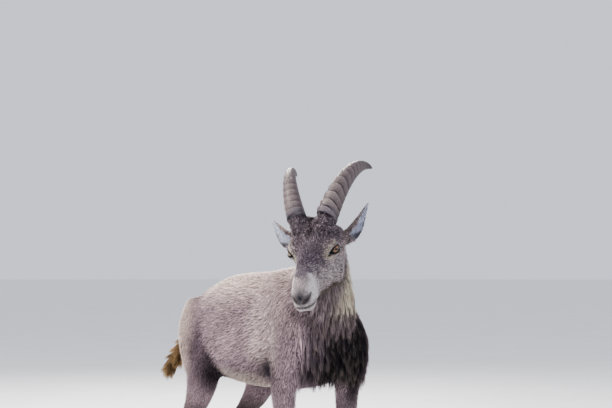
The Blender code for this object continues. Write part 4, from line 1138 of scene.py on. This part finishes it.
def unwrap(skin, points, parts, paths):
    """Each face is laid on a cylinder round its own part, and each part has its own rectangle."""
    names = list(paths)
    charts = {
        "trunk": (0.01, 0.01, 0.46, 0.46), "neck": (0.01, 0.51, 0.30, 0.25), "head": (0.49, 0.01, 0.50, 0.46),
        "fore_left": (0.34, 0.51, 0.15, 0.47), "fore_right": (0.51, 0.51, 0.15, 0.47),
        "hind_left": (0.68, 0.51, 0.15, 0.47), "hind_right": (0.84, 0.51, 0.15, 0.47),
        "tail": (0.01, 0.80, 0.30, 0.18),
    }
    mesh = skin.data
    total = len(mesh.loops)
    corner = np.empty(total, dtype=np.int32)
    mesh.loops.foreach_get("vertex_index", corner)
    starts = np.empty(len(mesh.polygons), dtype=np.int32)
    mesh.polygons.foreach_get("loop_start", starts)
    sizes = np.diff(np.append(starts, total))
    face_of = np.repeat(np.arange(len(starts)), sizes)
    weights = np.stack([parts[name] for name in names], 1)
    face_weights = np.add.reduceat(weights[corner], starts, axis=0)
    chart_of = face_weights.argmax(1)
    uv = np.zeros((total, 2))
    vertex_uv = np.zeros((len(points), 2))
    vertex_chart = weights.argmax(1)
    for k, name in enumerate(names):
        places, _, directions = paths[name]
        axis = unit(directions.mean(0))
        aside = unit(np.cross(axis, (0, 0, 1) if abs(axis[2]) < 0.8 else (1, 0, 0)))
        rise = np.cross(aside, axis)
        along = places @ axis
        order = np.argsort(along)
        centre = np.stack([np.interp(points @ axis, along[order], places[order, i]) for i in range(3)], 1)
        away = points - centre
        turn = np.arctan2(away @ aside, away @ rise) / (2 * math.pi) + 0.5
        reach = points @ axis
        low, high = reach[vertex_chart == k].min() - 0.01, reach[vertex_chart == k].max() + 0.01
        far = (reach - low) / (high - low)
        left, bottom, width, height = charts[name]
        own = chart_of[face_of] == k
        corner_turn = turn[corner]
        first = corner_turn[starts][face_of]
        corner_turn = corner_turn - np.round(corner_turn - first)
        spread = np.clip(0.04 + 0.92 * corner_turn, 0, 1)
        uv[own, 0] = left + width * spread[own]
        uv[own, 1] = bottom + height * np.clip(far[corner][own], 0, 1)
        mine = vertex_chart == k
        vertex_uv[mine, 0] = left + width * (0.04 + 0.92 * turn[mine])
        vertex_uv[mine, 1] = bottom + height * np.clip(far[mine], 0, 1)
    layer = mesh.uv_layers.new(name="OFBake")
    layer.data.foreach_set("uv", np.clip(uv, 0, 1).astype(np.float32).ravel())
    return vertex_uv, vertex_chart


def skin_triangles(skin):
    mesh = skin.data
    mesh.calc_loop_triangles()
    triangles = np.empty(len(mesh.loop_triangles) * 3, dtype=np.int32)
    mesh.loop_triangles.foreach_get("vertices", triangles)
    return triangles.reshape(-1, 3)


def spread_roots(points, triangles, density, draw):
    """Roots over the skin, as triangle numbers and weights of their corners."""
    a, b, c = (points[triangles[:, k]] for k in range(3))
    area = np.linalg.norm(np.cross(b - a, c - a), axis=1) / 2
    wanted = area * density[triangles].mean(1)
    total = np.cumsum(wanted)
    count = int(total[-1])
    chosen = np.searchsorted(total, (np.arange(count) + draw.random(count)) * total[-1] / count)
    chosen = np.minimum(chosen, len(triangles) - 1)
    first, second = draw.random((2, count))
    over = first + second > 1
    first[over], second[over] = 1 - first[over], 1 - second[over]
    return chosen, np.stack([1 - first - second, first, second], 1)


def at_roots(values, triangles, chosen, corners):
    picked = values[triangles[chosen]]
    if picked.ndim == 2:
        return (picked * corners).sum(1)
    return (picked * corners[:, :, None]).sum(1)


def lie_of_coat(points, normals, parts, flow, curls):
    """The way the hair lies: along its part, with a fall on the flanks and whorls on the brow."""
    fall = 0.55 * parts["trunk"] + 0.45 * parts["neck"] + 0.25 * parts["head"]
    flow = flow + np.outer(fall, (0, 0, -1.0))
    rear = ramp(-points[:, 0], 0.20, 0.285) * parts["trunk"]
    flow = flow * (1 - 0.75 * rear)[:, None] + np.outer(rear, (0, 0, -1.4))
    front = ramp(points[:, 0], 0.24, 0.30) * (1 - parts["head"])
    flow = flow + np.outer(front * 1.2, (0, 0, -1.0))
    swirl = np.stack([ripple(points, 0.018, LIE_SEED + k) for k in range(3)], 1)
    flow = flow + swirl * (0.06 + 1.2 * curls)[:, None]
    flow = flow - normals * (flow * normals).sum(1)[:, None]
    return unit(flow)


def short_coat(fields, collection, material, draw):
    """The close coat, in pieces by the part of the body that it grows on."""
    triangles = fields["triangles"]
    length = fields["length"]
    width = np.clip(length * 0.050, 0.00040, 0.00080)
    density = COVER / (length * 2 * width) * (1 - fields["bare"])
    chosen, corners = spread_roots(fields["points"], triangles, density, draw)
    count = len(chosen)

    def root(name):
        return at_roots(fields[name], triangles, chosen, corners)

    places, normals, flows = root("points"), unit(root("normals")), unit(root("lie"))
    lengths = root("length") * draw.uniform(0.75, 1.25, count)
    heights = root("depth") * draw.uniform(0.55, 1.12, count)
    curls = root("curls")
    sides = unit(np.cross(normals, flows))
    turned = draw.normal(0, 0.13 + 0.6 * curls, count)[:, None]
    flows = unit(flows + sides * turned)
    sides = unit(np.cross(normals, flows))
    spans = np.sqrt(np.maximum(lengths**2 - heights**2, (0.3 * lengths) ** 2))
    rings = [places - normals * 0.0006]
    rings.append(places + flows * (spans * 0.45)[:, None] + normals * (heights * 0.72)[:, None])
    rings.append(places + flows * spans[:, None] + normals * heights[:, None])
    centres = np.stack(rings, 1)
    half_widths = np.stack([np.interp(lengths, (0.004, 0.020), (0.00050, 0.00105))] * 2, 1)
    half_widths[:, 1] *= 0.85
    base = root("colour")
    shade = np.clip(1 + 0.18 * draw.normal(size=count), 0.5, 1.7)
    face = root("face")
    shade = np.where(draw.random(count) < 0.07 + 0.13 * face, shade * (1.45 + 0.9 * face), shade)
    shade = np.where(draw.random(count) < 0.08 + 0.12 * face, shade * (0.62 - 0.17 * face), shade)
    colours = base[:, None] * shade[:, None, None] * np.array([0.55, 0.95, 1.20])[None, :, None]
    spots = fields["uv"][triangles[chosen]][np.arange(count), corners.argmax(1)]
    charts = fields["chart"][triangles[chosen]][np.arange(count), corners.argmax(1)]
    builder = Hair(TUFT_STEPS)
    pieces = []
    for chart, name in enumerate(fields["names"]):
        mine = np.flatnonzero(charts == chart)
        left = places[mine, 1] >= 0
        for word, group in (("left", mine[left]), ("right", mine[~left])):
            if not len(group):
                continue
            parts = math.ceil(len(group) / PIECE_TUFTS)
            order = group[np.argsort(places[group, 0])]
            for k, some in enumerate(np.array_split(order, parts)):
                label = name if name.endswith(("left", "right")) else f"{name}_{word}"
                pieces.append(builder.build(
                    f"coat_{label}_{k}", centres[some], sides[some], normals[some], half_widths[some],
                    np.clip(colours[some], 0.002, 0.95), spots[some], collection, material,
                ))
    return pieces


def tube(name, rings, collection):
    """A closed surface over a block of rings: stations x sides x 3."""
    count, sides = rings.shape[:2]
    points = np.concatenate([rings.reshape(-1, 3), rings[[0, -1]].mean(1)])
    first = np.arange(count - 1)[:, None] * sides
    here = np.arange(sides)[None]
    after = (here + 1) % sides
    a, b = first + here, first + after
    c, d = a + sides, b + sides
    near_half, far_half = (np.stack(corners, -1).reshape(-1, 3) for corners in ((a, b, d), (a, d, c)))
    bottom = np.stack([after[0], here[0], np.full(sides, count * sides)], -1)
    last = (count - 1) * sides
    top = np.stack([last + here[0], last + after[0], np.full(sides, count * sides + 1)], -1)
    return raw_mesh(name, points, np.concatenate([near_half, far_half, bottom, top]), collection)


def horn_piece(side, collection, material):
    """A horn with uneven ledges on its front, fine rings round it and a smooth dark tip."""
    frame_of = head_frame()
    turn = np.linspace(0, 2 * math.pi, HORN_SIDES, endpoint=False)
    across, along = oval(HORN_SIDES, 2.4)
    front_share = ramp(along, 0.0, 0.75)
    rings = np.empty((HORN_STATIONS, HORN_SIDES, 3))
    shades = np.empty((HORN_STATIONS, HORN_SIDES, 3))
    strength = np.random.default_rng(SEED + side).uniform(0.45, 1.25, HORN_RIDGES + 2)
    plain, pale, groove_shade, foot, tip = (
        np.array(c) for c in (HORN_PLAIN, HORN_RIDGE_HIGHLIGHT, HORN_GROOVE_SHADE, HORN_FOOT, HORN_TIP)
    )
    for k, (place, direction) in enumerate(horn_line(side, HORN_STATIONS)):
        t = k / (HORN_STATIONS - 1)
        outward = Vector((0, side, 0))
        outward = (outward - direction * outward.dot(direction)).normalized()
        front = outward.cross(direction) * side
        taper = (1 - t) ** 0.72 * 0.95 + 0.05
        bend = 0.10 * np.sin(2 * turn + side) + 0.07 * np.sin(3 * turn + 7 * t)
        phase = HORN_RIDGES * t**HORN_RIDGE_SPREAD + 0.22 * math.sin(9 * t + side) + bend
        step = phase - np.floor(phase)
        ledge = step**1.6 * ramp(-step, -1.0, -0.90)
        away = np.minimum(np.abs(step - 0.98), step + 0.02)
        ridge = np.median(phase)
        worn = strength[int(ridge) % len(strength)] if ridge >= 0 else 1.0
        cut = bell(away / 0.095) * worn
        fade = (1 - t) ** 0.5 * ramp(-t, -0.86, -0.66)
        fine = 0.5 + 0.5 * np.sin(2 * math.pi * (62 * t + 1.3 * np.sin(turn + side) + 0.5 * np.sin(3 * turn)))
        swell = 1 + fade * (0.035 + 0.165 * front_share) * ledge - 0.075 * fade * cut
        swell = swell + 0.012 * fine * (1 - 0.7 * t)
        spread = np.outer(across * HORN_WIDTH * taper * swell, outward)
        deep = np.outer(along * HORN_DEPTH * taper * swell, front)
        rings[k] = np.array(place) + spread + deep
        # Painted highlight on the tops of the ledges, strongest on the front
        colour = plain + (pale - plain) * (ledge * fade * (0.35 + 0.65 * front_share))[:, None]
        colour = colour * (0.78 + 0.34 * fine)[:, None]
        # Painted shade in the grooves cut under the ledges
        dark = np.clip(cut * fade * (0.60 + 0.9 * front_share), 0, 1)[:, None]
        colour = colour + (groove_shade - colour) * dark
        colour = colour + (foot - colour) * (0.40 * ramp(-t, -0.075, -0.02))
        shades[k] = colour + (tip - colour) * (0.85 * ramp(t, 0.70, 0.93))
    world = to_world(frame_of, rings.reshape(-1, 3)).reshape(rings.shape)
    horn = tube(f"horn_{SIDE_NAMES[side]}_fine", world, collection)
    paint(horn, np.concatenate([shades.reshape(-1, 3), shades[[0, -1]].mean(1)]))
    horn.data.materials.append(material)
    return horn


def eye_piece(side, collection, material):
    """The ball of an eye, with an amber iris and a level pupil."""
    place = eye_frame(side)
    ball_obj = ball(f"eye_{SIDE_NAMES[side]}_fine", (0, 0, 0), (EYE_RADIUS,) * 3, collection, place, 160)
    points = to_local(place, get_points(ball_obj)) / EYE_RADIUS
    up = np.array(place.to_3x3().inverted() @ Vector((0, 0, 1)))
    up[1] = 0
    up = unit(up)
    level = np.array((up[2], 0, -up[0]))
    x, z = points @ level, points @ up
    reach = np.sqrt(x**2 + z**2)
    spokes = 1 + 0.22 * np.sin(np.arctan2(z, x) * 23 + 3 * np.sin(np.arctan2(z, x) * 5))
    amber = np.array(IRIS_AMBER) * spokes[:, None]
    amber = amber + (np.array(IRIS_INNER) - amber) * (0.6 * ramp(-reach, -0.40, -0.18))[:, None]
    rim = ramp(reach, IRIS_REACH - 0.10, IRIS_REACH)
    colour = amber + (np.array(IRIS_RIM) - amber) * rim[:, None]
    pupil = (np.abs(x) / PUPIL_LENGTH) ** 4 + (np.abs(z) / PUPIL_HEIGHT) ** 4
    colour = colour + (PUPIL_SHADE - colour) * ramp(-pupil, -1.5, -0.8)[:, None]
    colour[points[:, 1] < 0] = BALL_SHADE
    paint(ball_obj, colour)
    ball_obj.data.materials.append(material)
    ball_obj.data.shade_smooth()
    return ball_obj


def lid_piece(side, collection, material):
    """The dark wet margin of the lids, a thin ring round the eye's opening."""
    place = eye_frame(side)
    half_length, above, below = EYE_OPENING
    turn = np.linspace(0, 2 * math.pi, 120, endpoint=False)
    x = half_length * 1.03 * np.cos(turn)
    height = np.where(np.sin(turn) > 0, above, below) * 1.03
    z = height * np.sign(np.sin(turn)) * np.abs(np.sin(turn)) ** (2 / 1.7)
    lid = EYE_RADIUS + 0.0007
    y = np.sqrt(np.maximum(lid**2 - x**2 - z**2, 0.0001**2))
    path = np.stack([x, y, z], 1)
    tangent = unit(np.roll(path, -1, 0) - np.roll(path, 1, 0))
    out = unit(path)
    aside = unit(np.cross(tangent, out))
    round_turn = np.linspace(0, 2 * math.pi, 10, endpoint=False)
    rings = path[:, None] + LID_RING * (
        np.cos(round_turn)[None, :, None] * aside[:, None] + np.sin(round_turn)[None, :, None] * out[:, None]
    )
    world = to_world(place, rings.reshape(-1, 3))
    count, sides = len(path), len(round_turn)
    first = np.arange(count)[:, None] * sides
    second = (np.arange(count)[:, None] + 1) % count * sides
    here, after = np.arange(sides)[None], (np.arange(sides)[None] + 1) % sides
    faces = np.stack([first + here, second + here, second + after, first + after], -1).reshape(-1, 4)
    ring = raw_mesh(f"lid_{SIDE_NAMES[side]}", world, faces, collection)
    paint(ring, np.full((len(world), 3), LID_SHADE))
    ring.data.materials.append(material)
    return ring


def claw_piece(name, foot, side, inner, collection, material):
    """One half of a hoof: a wedge with a flat sole, a straight wall by the cleft and a round outer wall."""
    turn = np.linspace(0, 2 * math.pi, 60, endpoint=False)
    x, y = np.cos(turn), np.sin(turn)
    y = y * np.where(y > 0, 0.5, 0.06)
    outline_x = x * CLAW_LENGTH / 2 + 0.004
    outline_y = (y + 0.06) * CLAW_WIDTH * (1 - 0.35 * np.maximum(x, 0) ** 2) * 1.75
    place = foot_place(foot, side)
    outward = side if inner < 0 else -side
    turned = np.array(Matrix.Rotation(CLAW_SPLAY * outward, 3, "Z"))
    heel = np.array((-CLAW_LENGTH / 2 - CLAW_SETBACK, 0, 0))
    rings = []
    shades = []
    for level in np.linspace(0, 1, 28):
        reach = np.interp(level, (0, 0.06, 0.35, 0.7, 1), (0.985, 1.0, 0.97, 0.90, CLAW_TOP_REACH))
        growth = 1 + 0.006 * math.sin(level * HOOF_GROWTH) * (level > 0.1)
        toe = 0.5 + outline_x / CLAW_LENGTH
        top = CLAW_HEEL_HEIGHT + (CLAW_TOE_HEIGHT - CLAW_HEEL_HEIGHT) * toe
        ring = np.stack([
            outline_x * reach * growth - CLAW_SETBACK * level,
            (outline_y * (0.5 + 0.5 * reach) * growth + CLEFT / 2) * outward,
            top * level,
        ], 1)
        rings.append(np.array(place) + heel + (ring - heel) @ turned.T)
        shade = 0.75 + 0.14 * math.sin(level * HOOF_GROWTH) + 0.5 * level
        shades.append(np.tile(HOOF_COLOUR, (len(turn), 1)) * shade)
    rings = np.stack(rings)
    if outward < 0:
        rings = rings[:, ::-1]
    hoof = tube(name, rings, collection)
    shades = np.stack(shades)
    paint(hoof, np.concatenate([shades.reshape(-1, 3), shades[[0, -1]].mean(1)]))
    hoof.data.materials.append(material)
    return hoof


def dewclaw_pieces(foot, side, collection, material):
    """Two small claws behind the pastern."""
    made = []
    for aside, word in ((1, "a"), (-1, "b")):
        start = foot_place(foot, side) + Vector((DEWCLAW_BEHIND, DEWCLAW_ASIDE * aside, DEWCLAW_HEIGHT))
        rows = []
        for t, size in ((-0.45, 0.9), (0.0, 1.0), (0.4, 0.9), (0.75, 0.6), (1.0, 0.2)):
            place = start + Vector((-0.18, 0.14 * aside, -0.97)) * (DEWCLAW_LENGTH * t)
            rows.append((*place, DEWCLAW_WIDTH * size, DEWCLAW_WIDTH * size, DEWCLAW_WIDTH * size))
        rings = np.stack(limb_rings(rows, 24, 24))
        claw = tube(f"dewclaw_{foot}_{SIDE_NAMES[side]}_{word}", rings, collection)
        paint(claw, np.full((len(claw.data.vertices), 3), DEWCLAW_SHADE))
        claw.data.materials.append(material)
        made.append(claw)
    return made


def horny_material(name, roughness, scale, strength):
    """Horn, hoof and eye: the painted colour with a fine noise in it and in its bump."""
    made = node_material(name, roughness, Specular_IOR_Level=0.45)
    shader = made.node_tree.nodes["Principled BSDF"]
    colour = add_node(made, "ShaderNodeAttribute", attribute_name="markings").outputs["Color"]
    place = add_node(made, "ShaderNodeTexCoord").outputs["Object"]
    mixed, height = multiply_by_noise(made, colour, place, scale, 0.80, 1.22, 6.0)
    link(made, mixed, shader.inputs["Base Color"])
    add_bump(made, height, strength, 0.0006)
    return made


def strands(places, first, bends, lengths):
    """Lines of long hair that leave the skin one way and are bent another way along their length."""
    lines = []
    for s in np.linspace(0, 1, STRAND_STEPS + 1):
        lines.append(places + (first * (s - 0.5 * s * s) + bends * (0.5 * s * s)) * lengths[:, None])
    return np.stack(lines, 1)


def clumped(places, tips, draw):
    """How far each tip is drawn to its clump's middle, and a random way that its whole clump stands off."""
    cells = np.floor(places / CLUMP + draw.random(3)).astype(int)
    key = cells[:, 0] * 73856093 ^ cells[:, 1] * 19349663 ^ cells[:, 2] * 83492791
    unique, group = np.unique(key, return_inverse=True)
    count = np.bincount(group)
    mean = np.stack([np.bincount(group, tips[:, k]) / count for k in range(3)], 1)
    lift = draw.normal(0, 1, (len(unique), 3))
    return (mean[group] - tips) * CLUMP_PULL, lift[group]


def long_hair(fields, name, weight, count, length, tip_colour, bend_of, collection, material, draw):
    """Strands that hang from the part of the skin where the weight is over nought."""
    triangles = fields["triangles"]
    points = fields["points"]
    a, b, c = (points[triangles[:, k]] for k in range(3))
    area = np.linalg.norm(np.cross(b - a, c - a), axis=1) / 2
    total = (area * weight[triangles].mean(1)).sum()
    chosen, corners = spread_roots(points, triangles, weight * (count / total), draw)
    places = at_roots(points, triangles, chosen, corners)
    normals = unit(at_roots(fields["normals"], triangles, chosen, corners))
    flows = unit(at_roots(fields["lie"], triangles, chosen, corners))
    number = len(places)
    bends = unit(bend_of(normals) + draw.normal(0, 0.10, (number, 3)))
    first = unit(normals * STRAND_LIFT + flows + draw.normal(0, 0.10, (number, 3)))
    lengths = length * draw.uniform(0.65, 1.15, number)
    widths = draw.uniform(0.00045, 0.00085, number)
    centres = strands(places, first, bends, lengths)
    sides = unit(np.cross(first, bends + 1e-6))
    outs = unit(np.cross(bends, sides))
    pull, lift = clumped(places, centres[:, -1], draw)
    at = np.linspace(0, 1, STRAND_STEPS + 1)
    centres += (pull + lift * CLUMP_LIFT)[:, None] * (at**1.6)[None, :, None]
    wave = np.sin(at[None] * 7 + draw.uniform(0, 6, number)[:, None]) * at[None] * 0.0010
    centres += sides[:, None] * wave[:, :, None]
    colour = at_roots(fields["colour"] * LONG_SHADE, triangles, chosen, corners)
    shade = np.clip(1 + 0.25 * draw.normal(size=number) + 0.22 * lift[:, 0], 0.4, 2.2)
    run = np.interp(at, (0, 0.35, 0.75, 1), (0.45, 0.95, 1.25, 1.5))
    colours = colour[:, None] * (shade[:, None] * run[None])[:, :, None]
    pale = np.clip(0.30 + 0.5 * lift[:, 1] * 0.5 + 0.25 * draw.normal(size=number), 0, 0.85)
    mix = pale[:, None] * np.interp(at, (0.45, 1), (0, 1))[None]
    colours = colours + (np.array(tip_colour) - colours) * mix[:, :, None]
    spots = fields["uv"][triangles[chosen]][np.arange(number), corners.argmax(1)]
    return Hair(STRAND_STEPS).build(
        name, centres, sides, outs, widths[:, None] * np.array(STRAND_WIDTHS),
        np.clip(colours, 0.002, 0.95), spots, collection, material,
    )


def soften_head(skin, rounds):
    """Smooths the head alone, and gives the points of the whole skin after it."""
    points = get_points(skin)
    in_head = (to_local(head_frame(), points)[:, 0] > -0.10).astype(float)
    points = soften(points, get_edges(skin), rounds, in_head)
    set_points(skin, points)
    return points


def shape_skin(skin, paths):
    """Smooths the skin, makes it finer on the head and lets it in by the coat's depth."""
    points = get_points(skin)
    edges = get_edges(skin)
    parts = part_fields(points, paths)[0]
    head = parts["head"] * ramp(to_local(head_frame(), points)[:, 0], -0.13, -0.08)
    points = soften(points, edges, SKIN_ROUNDS, 1 - (1 - HEAD_ROUNDS / SKIN_ROUNDS) * head)
    mixed = 1 - sum(share**2 for share in parts.values())
    set_points(skin, soften(points, edges, SEAM_ROUNDS, ramp(mixed, 0.05, 0.35) * (1 - head)))
    refine(skin, to_local(head_frame(), get_points(skin))[:, 0] > -0.095)
    points = soften_head(skin, 4)
    finest = to_local(head_frame(), points)[:, 0] > 0.098
    for side in (1, -1):
        finest |= np.linalg.norm(to_local(eye_frame(side), points), axis=1) < 0.034
    refine(skin, finest)
    soften_head(skin, 3)
    surface = BVHTree.FromObject(skin, bpy.context.evaluated_depsgraph_get())
    lines = {"nostrils": [nostril_path(surface, side) for side in (1, -1)], "mouth": mouth_path(surface)}
    points = get_points(skin)
    edges = get_edges(skin)
    normals = unit(soften(get_normals(skin), edges, 6))
    parts = part_fields(points, paths)[0]
    depth = soften(coat_fields(points, parts, lines)[0], edges, 4)
    set_points(skin, points - normals * depth[:, None])
    sculpt_head(skin, lines)
    return lines


def join_ears(skin, scraps):
    """Fuses the ears to the skin and then thins its mesh where it is flat."""
    for side in (1, -1):
        ear = ear_mesh(side, scraps)
        fuse = skin.modifiers.new("ear", "BOOLEAN")
        fuse.operation = "UNION"
        fuse.solver = "MANIFOLD"
        fuse.object = ear
        apply_modifiers(skin)
        bpy.data.objects.remove(ear)
    thin = skin.modifiers.new("thin", "DECIMATE")
    thin.ratio = SKIN_SHARE
    apply_modifiers(skin)


def skin_fields(skin, paths, lines):
    """What the coat has to know at each point of the skin, and how much each point is of each part."""
    points = get_points(skin)
    normals = get_normals(skin)
    parts, flow = part_fields(points, paths)
    depth, length, bare, curls = coat_fields(points, parts, lines)
    lie = lie_of_coat(points, normals, parts, flow, curls)
    local = to_local(head_frame(), points)
    for side in (1, -1):
        on_ear = near_ear(*ear_place(local, side))
        line = np.array((head_frame().to_3x3() @ ear_axes(side)[0]).normalized())
        lie[on_ear] = unit(line - normals[on_ear] * (normals[on_ear] @ line)[:, None])
        depth[on_ear] = 0.0010
        length[on_ear] = 0.0055
    uv, chart = unwrap(skin, points, parts, paths)
    return {
        "points": points,
        "normals": normals,
        "triangles": skin_triangles(skin),
        "depth": depth,
        "length": length,
        "bare": bare,
        "curls": curls,
        "face": parts["head"] * ramp(local[:, 0], -0.10, -0.06) * ramp(-local[:, 0], -0.125, -0.08),
        "colour": markings(points, normals, parts, lines),
        "lie": lie,
        "uv": uv,
        "chart": chart,
        "names": list(paths),
    }, parts


def chest_hair(fields, parts, collection, material, draw):
    x, y, z = fields["points"].T
    chest = ramp(fields["normals"][:, 0], 0.22, 0.60) * ramp(x, 0.23, 0.27)
    chest = chest * ramp(z, 0.385, 0.42) * ramp(-z, -0.66, -0.60)
    chest = chest * (1 - parts["head"]) * ramp(y, -0.105, -0.070) * ramp(-y, -0.135, -0.105)

    def hang(normals):
        return np.array((0.02, 0, -1.0)) + normals * 0.08

    return long_hair(
        fields, "coat_chest_long", chest, CHEST_STRANDS, CHEST_LENGTH, CHEST_TIPS, hang,
        collection, material, draw,
    )


def tail_hair(fields, parts, collection, material, draw):
    brush = parts["tail"] * ramp(-fields["points"][:, 0], 0.305, 0.325)
    tail_way = unit(np.array(TAIL[-1][:3]) - np.array(TAIL[2][:3]))

    def trail(normals):
        return tail_way + normals * 0.85 + np.array((-0.05, 0, -0.20))

    return long_hair(
        fields, "tail_long", brush, TAIL_STRANDS, TAIL_LENGTH, COLOURS["ochre"], trail,
        collection, material, draw,
    )


def horns_eyes_hooves(collection):
    """The pieces that aren't coat, by their slots."""
    horn_material = horny_material("horn_keratin", 0.48, 260.0, 0.35)
    hoof_material = horny_material("hoof_keratin", 0.42, 420.0, 0.25)
    eye_material = horny_material("eye_wet", 0.06, 900.0, 0.0)
    wet = eye_material.node_tree.nodes["Principled BSDF"].inputs
    wet["Coat Weight"].default_value = 1.0
    wet["Coat Roughness"].default_value = 0.02
    made = {"horn": [], "eye": [], "hoof": []}
    for side, word in SIDE_NAMES.items():
        horn = horn_piece(side, collection, horn_material)
        eye = eye_piece(side, collection, eye_material)
        made["horn"].append(horn)
        made["eye"] += [eye, lid_piece(side, collection, eye_material)]
        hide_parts(f"horn_{word}")
        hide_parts(f"eye_{word}")
        for foot in ("fore", "hind"):
            for inner, half in ((1, "inner"), (-1, "outer")):
                name = f"hoof_{foot}_{word}_{half}"
                hoof = claw_piece(f"{name}_fine", foot, side, inner, collection, hoof_material)
                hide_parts(name)
                made["hoof"].append(hoof)
            made["hoof"] += dewclaw_pieces(foot, side, collection, hoof_material)
    return made


def main():
    draw = np.random.default_rng(SEED)
    collection = new_collection("ibex_looks")
    scraps = new_collection("scraps")
    paths = body_paths()
    skin = build_skin(collection, scraps)
    lines = shape_skin(skin, paths)
    join_ears(skin, scraps)
    fields, parts = skin_fields(skin, paths, lines)
    paint(skin, fields["colour"] * SKIN_SHADE)
    hair_material, skin_material = coat_materials()
    skin.data.materials.clear()
    skin.data.materials.append(skin_material)
    skin.data.shade_smooth()
    coat = [skin] + short_coat(fields, collection, hair_material, draw)
    coat.append(chest_hair(fields, parts, collection, hair_material, draw))
    brush = tail_hair(fields, parts, collection, hair_material, draw)
    slots = {"coat": coat, "dark_coat": [brush], **horns_eyes_hooves(collection)}
    for slot, pieces in slots.items():
        for piece in pieces:
            piece.data.transform(Matrix.Translation(MODEL_SHIFT))
            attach(piece, "root")
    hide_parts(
        "head", "neck", "chest", "abdomen", "rump", "tail", "ear_left", "ear_right",
        *(f"{leg}_{half}_{word}" for leg in ("foreleg", "hindleg") for half in ("upper", "lower")
          for word in ("left", "right")),
    )


def stage():
    scene = bpy.context.scene
    world = bpy.data.worlds.new("studio")
    scene.world = world
    world.use_nodes = True
    world.node_tree.nodes["Background"].inputs["Color"].default_value = SKY_COLOUR
    world.node_tree.nodes["Background"].inputs["Strength"].default_value = SKY_STRENGTH
    scene.view_settings.view_transform = "AgX"
    scene.view_settings.look = "AgX - High Contrast"
    scene.view_settings.exposure = EXPOSURE
    mesh = bmesh.new()
    bmesh.ops.create_circle(mesh, cap_ends=True, segments=96, radius=FLOOR_RADIUS)
    floor = mesh_object("floor", mesh, scene.collection)
    material = node_material("floor_pale", 0.9)
    shader = material.node_tree.nodes["Principled BSDF"]
    place = add_node(material, "ShaderNodeTexCoord").outputs["Object"]
    tint = add_node(material, "ShaderNodeRGB")
    tint.outputs[0].default_value = FLOOR_COLOUR
    mixed = multiply_by_noise(material, tint.outputs[0], place, 3.0, 0.98, 1.02)[0]
    link(material, mixed, shader.inputs["Base Color"])
    floor.data.materials.append(material)
    for name, (place, energy, size, colour) in LAMPS.items():
        light = bpy.data.lights.new(name, "AREA")
        light.energy = energy
        light.size = size
        light.color = colour
        lamp = bpy.data.objects.new(name, light)
        lamp.location = place
        lamp.rotation_euler = (LAMP_TARGET - lamp.location).to_track_quat("-Z", "Y").to_euler()
        scene.collection.objects.link(lamp)
    camera = bpy.data.cameras.new("camera")
    camera.lens = CAMERA_LENS
    camera.sensor_width = CAMERA_SENSOR
    holder = bpy.data.objects.new("camera", camera)
    holder.location = CAMERA_PLACE + MODEL_SHIFT
    holder.rotation_euler = (CAMERA_TARGET - CAMERA_PLACE).to_track_quat("-Z", "Y").to_euler()
    scene.collection.objects.link(holder)
    scene.camera = holder


main()
stage()
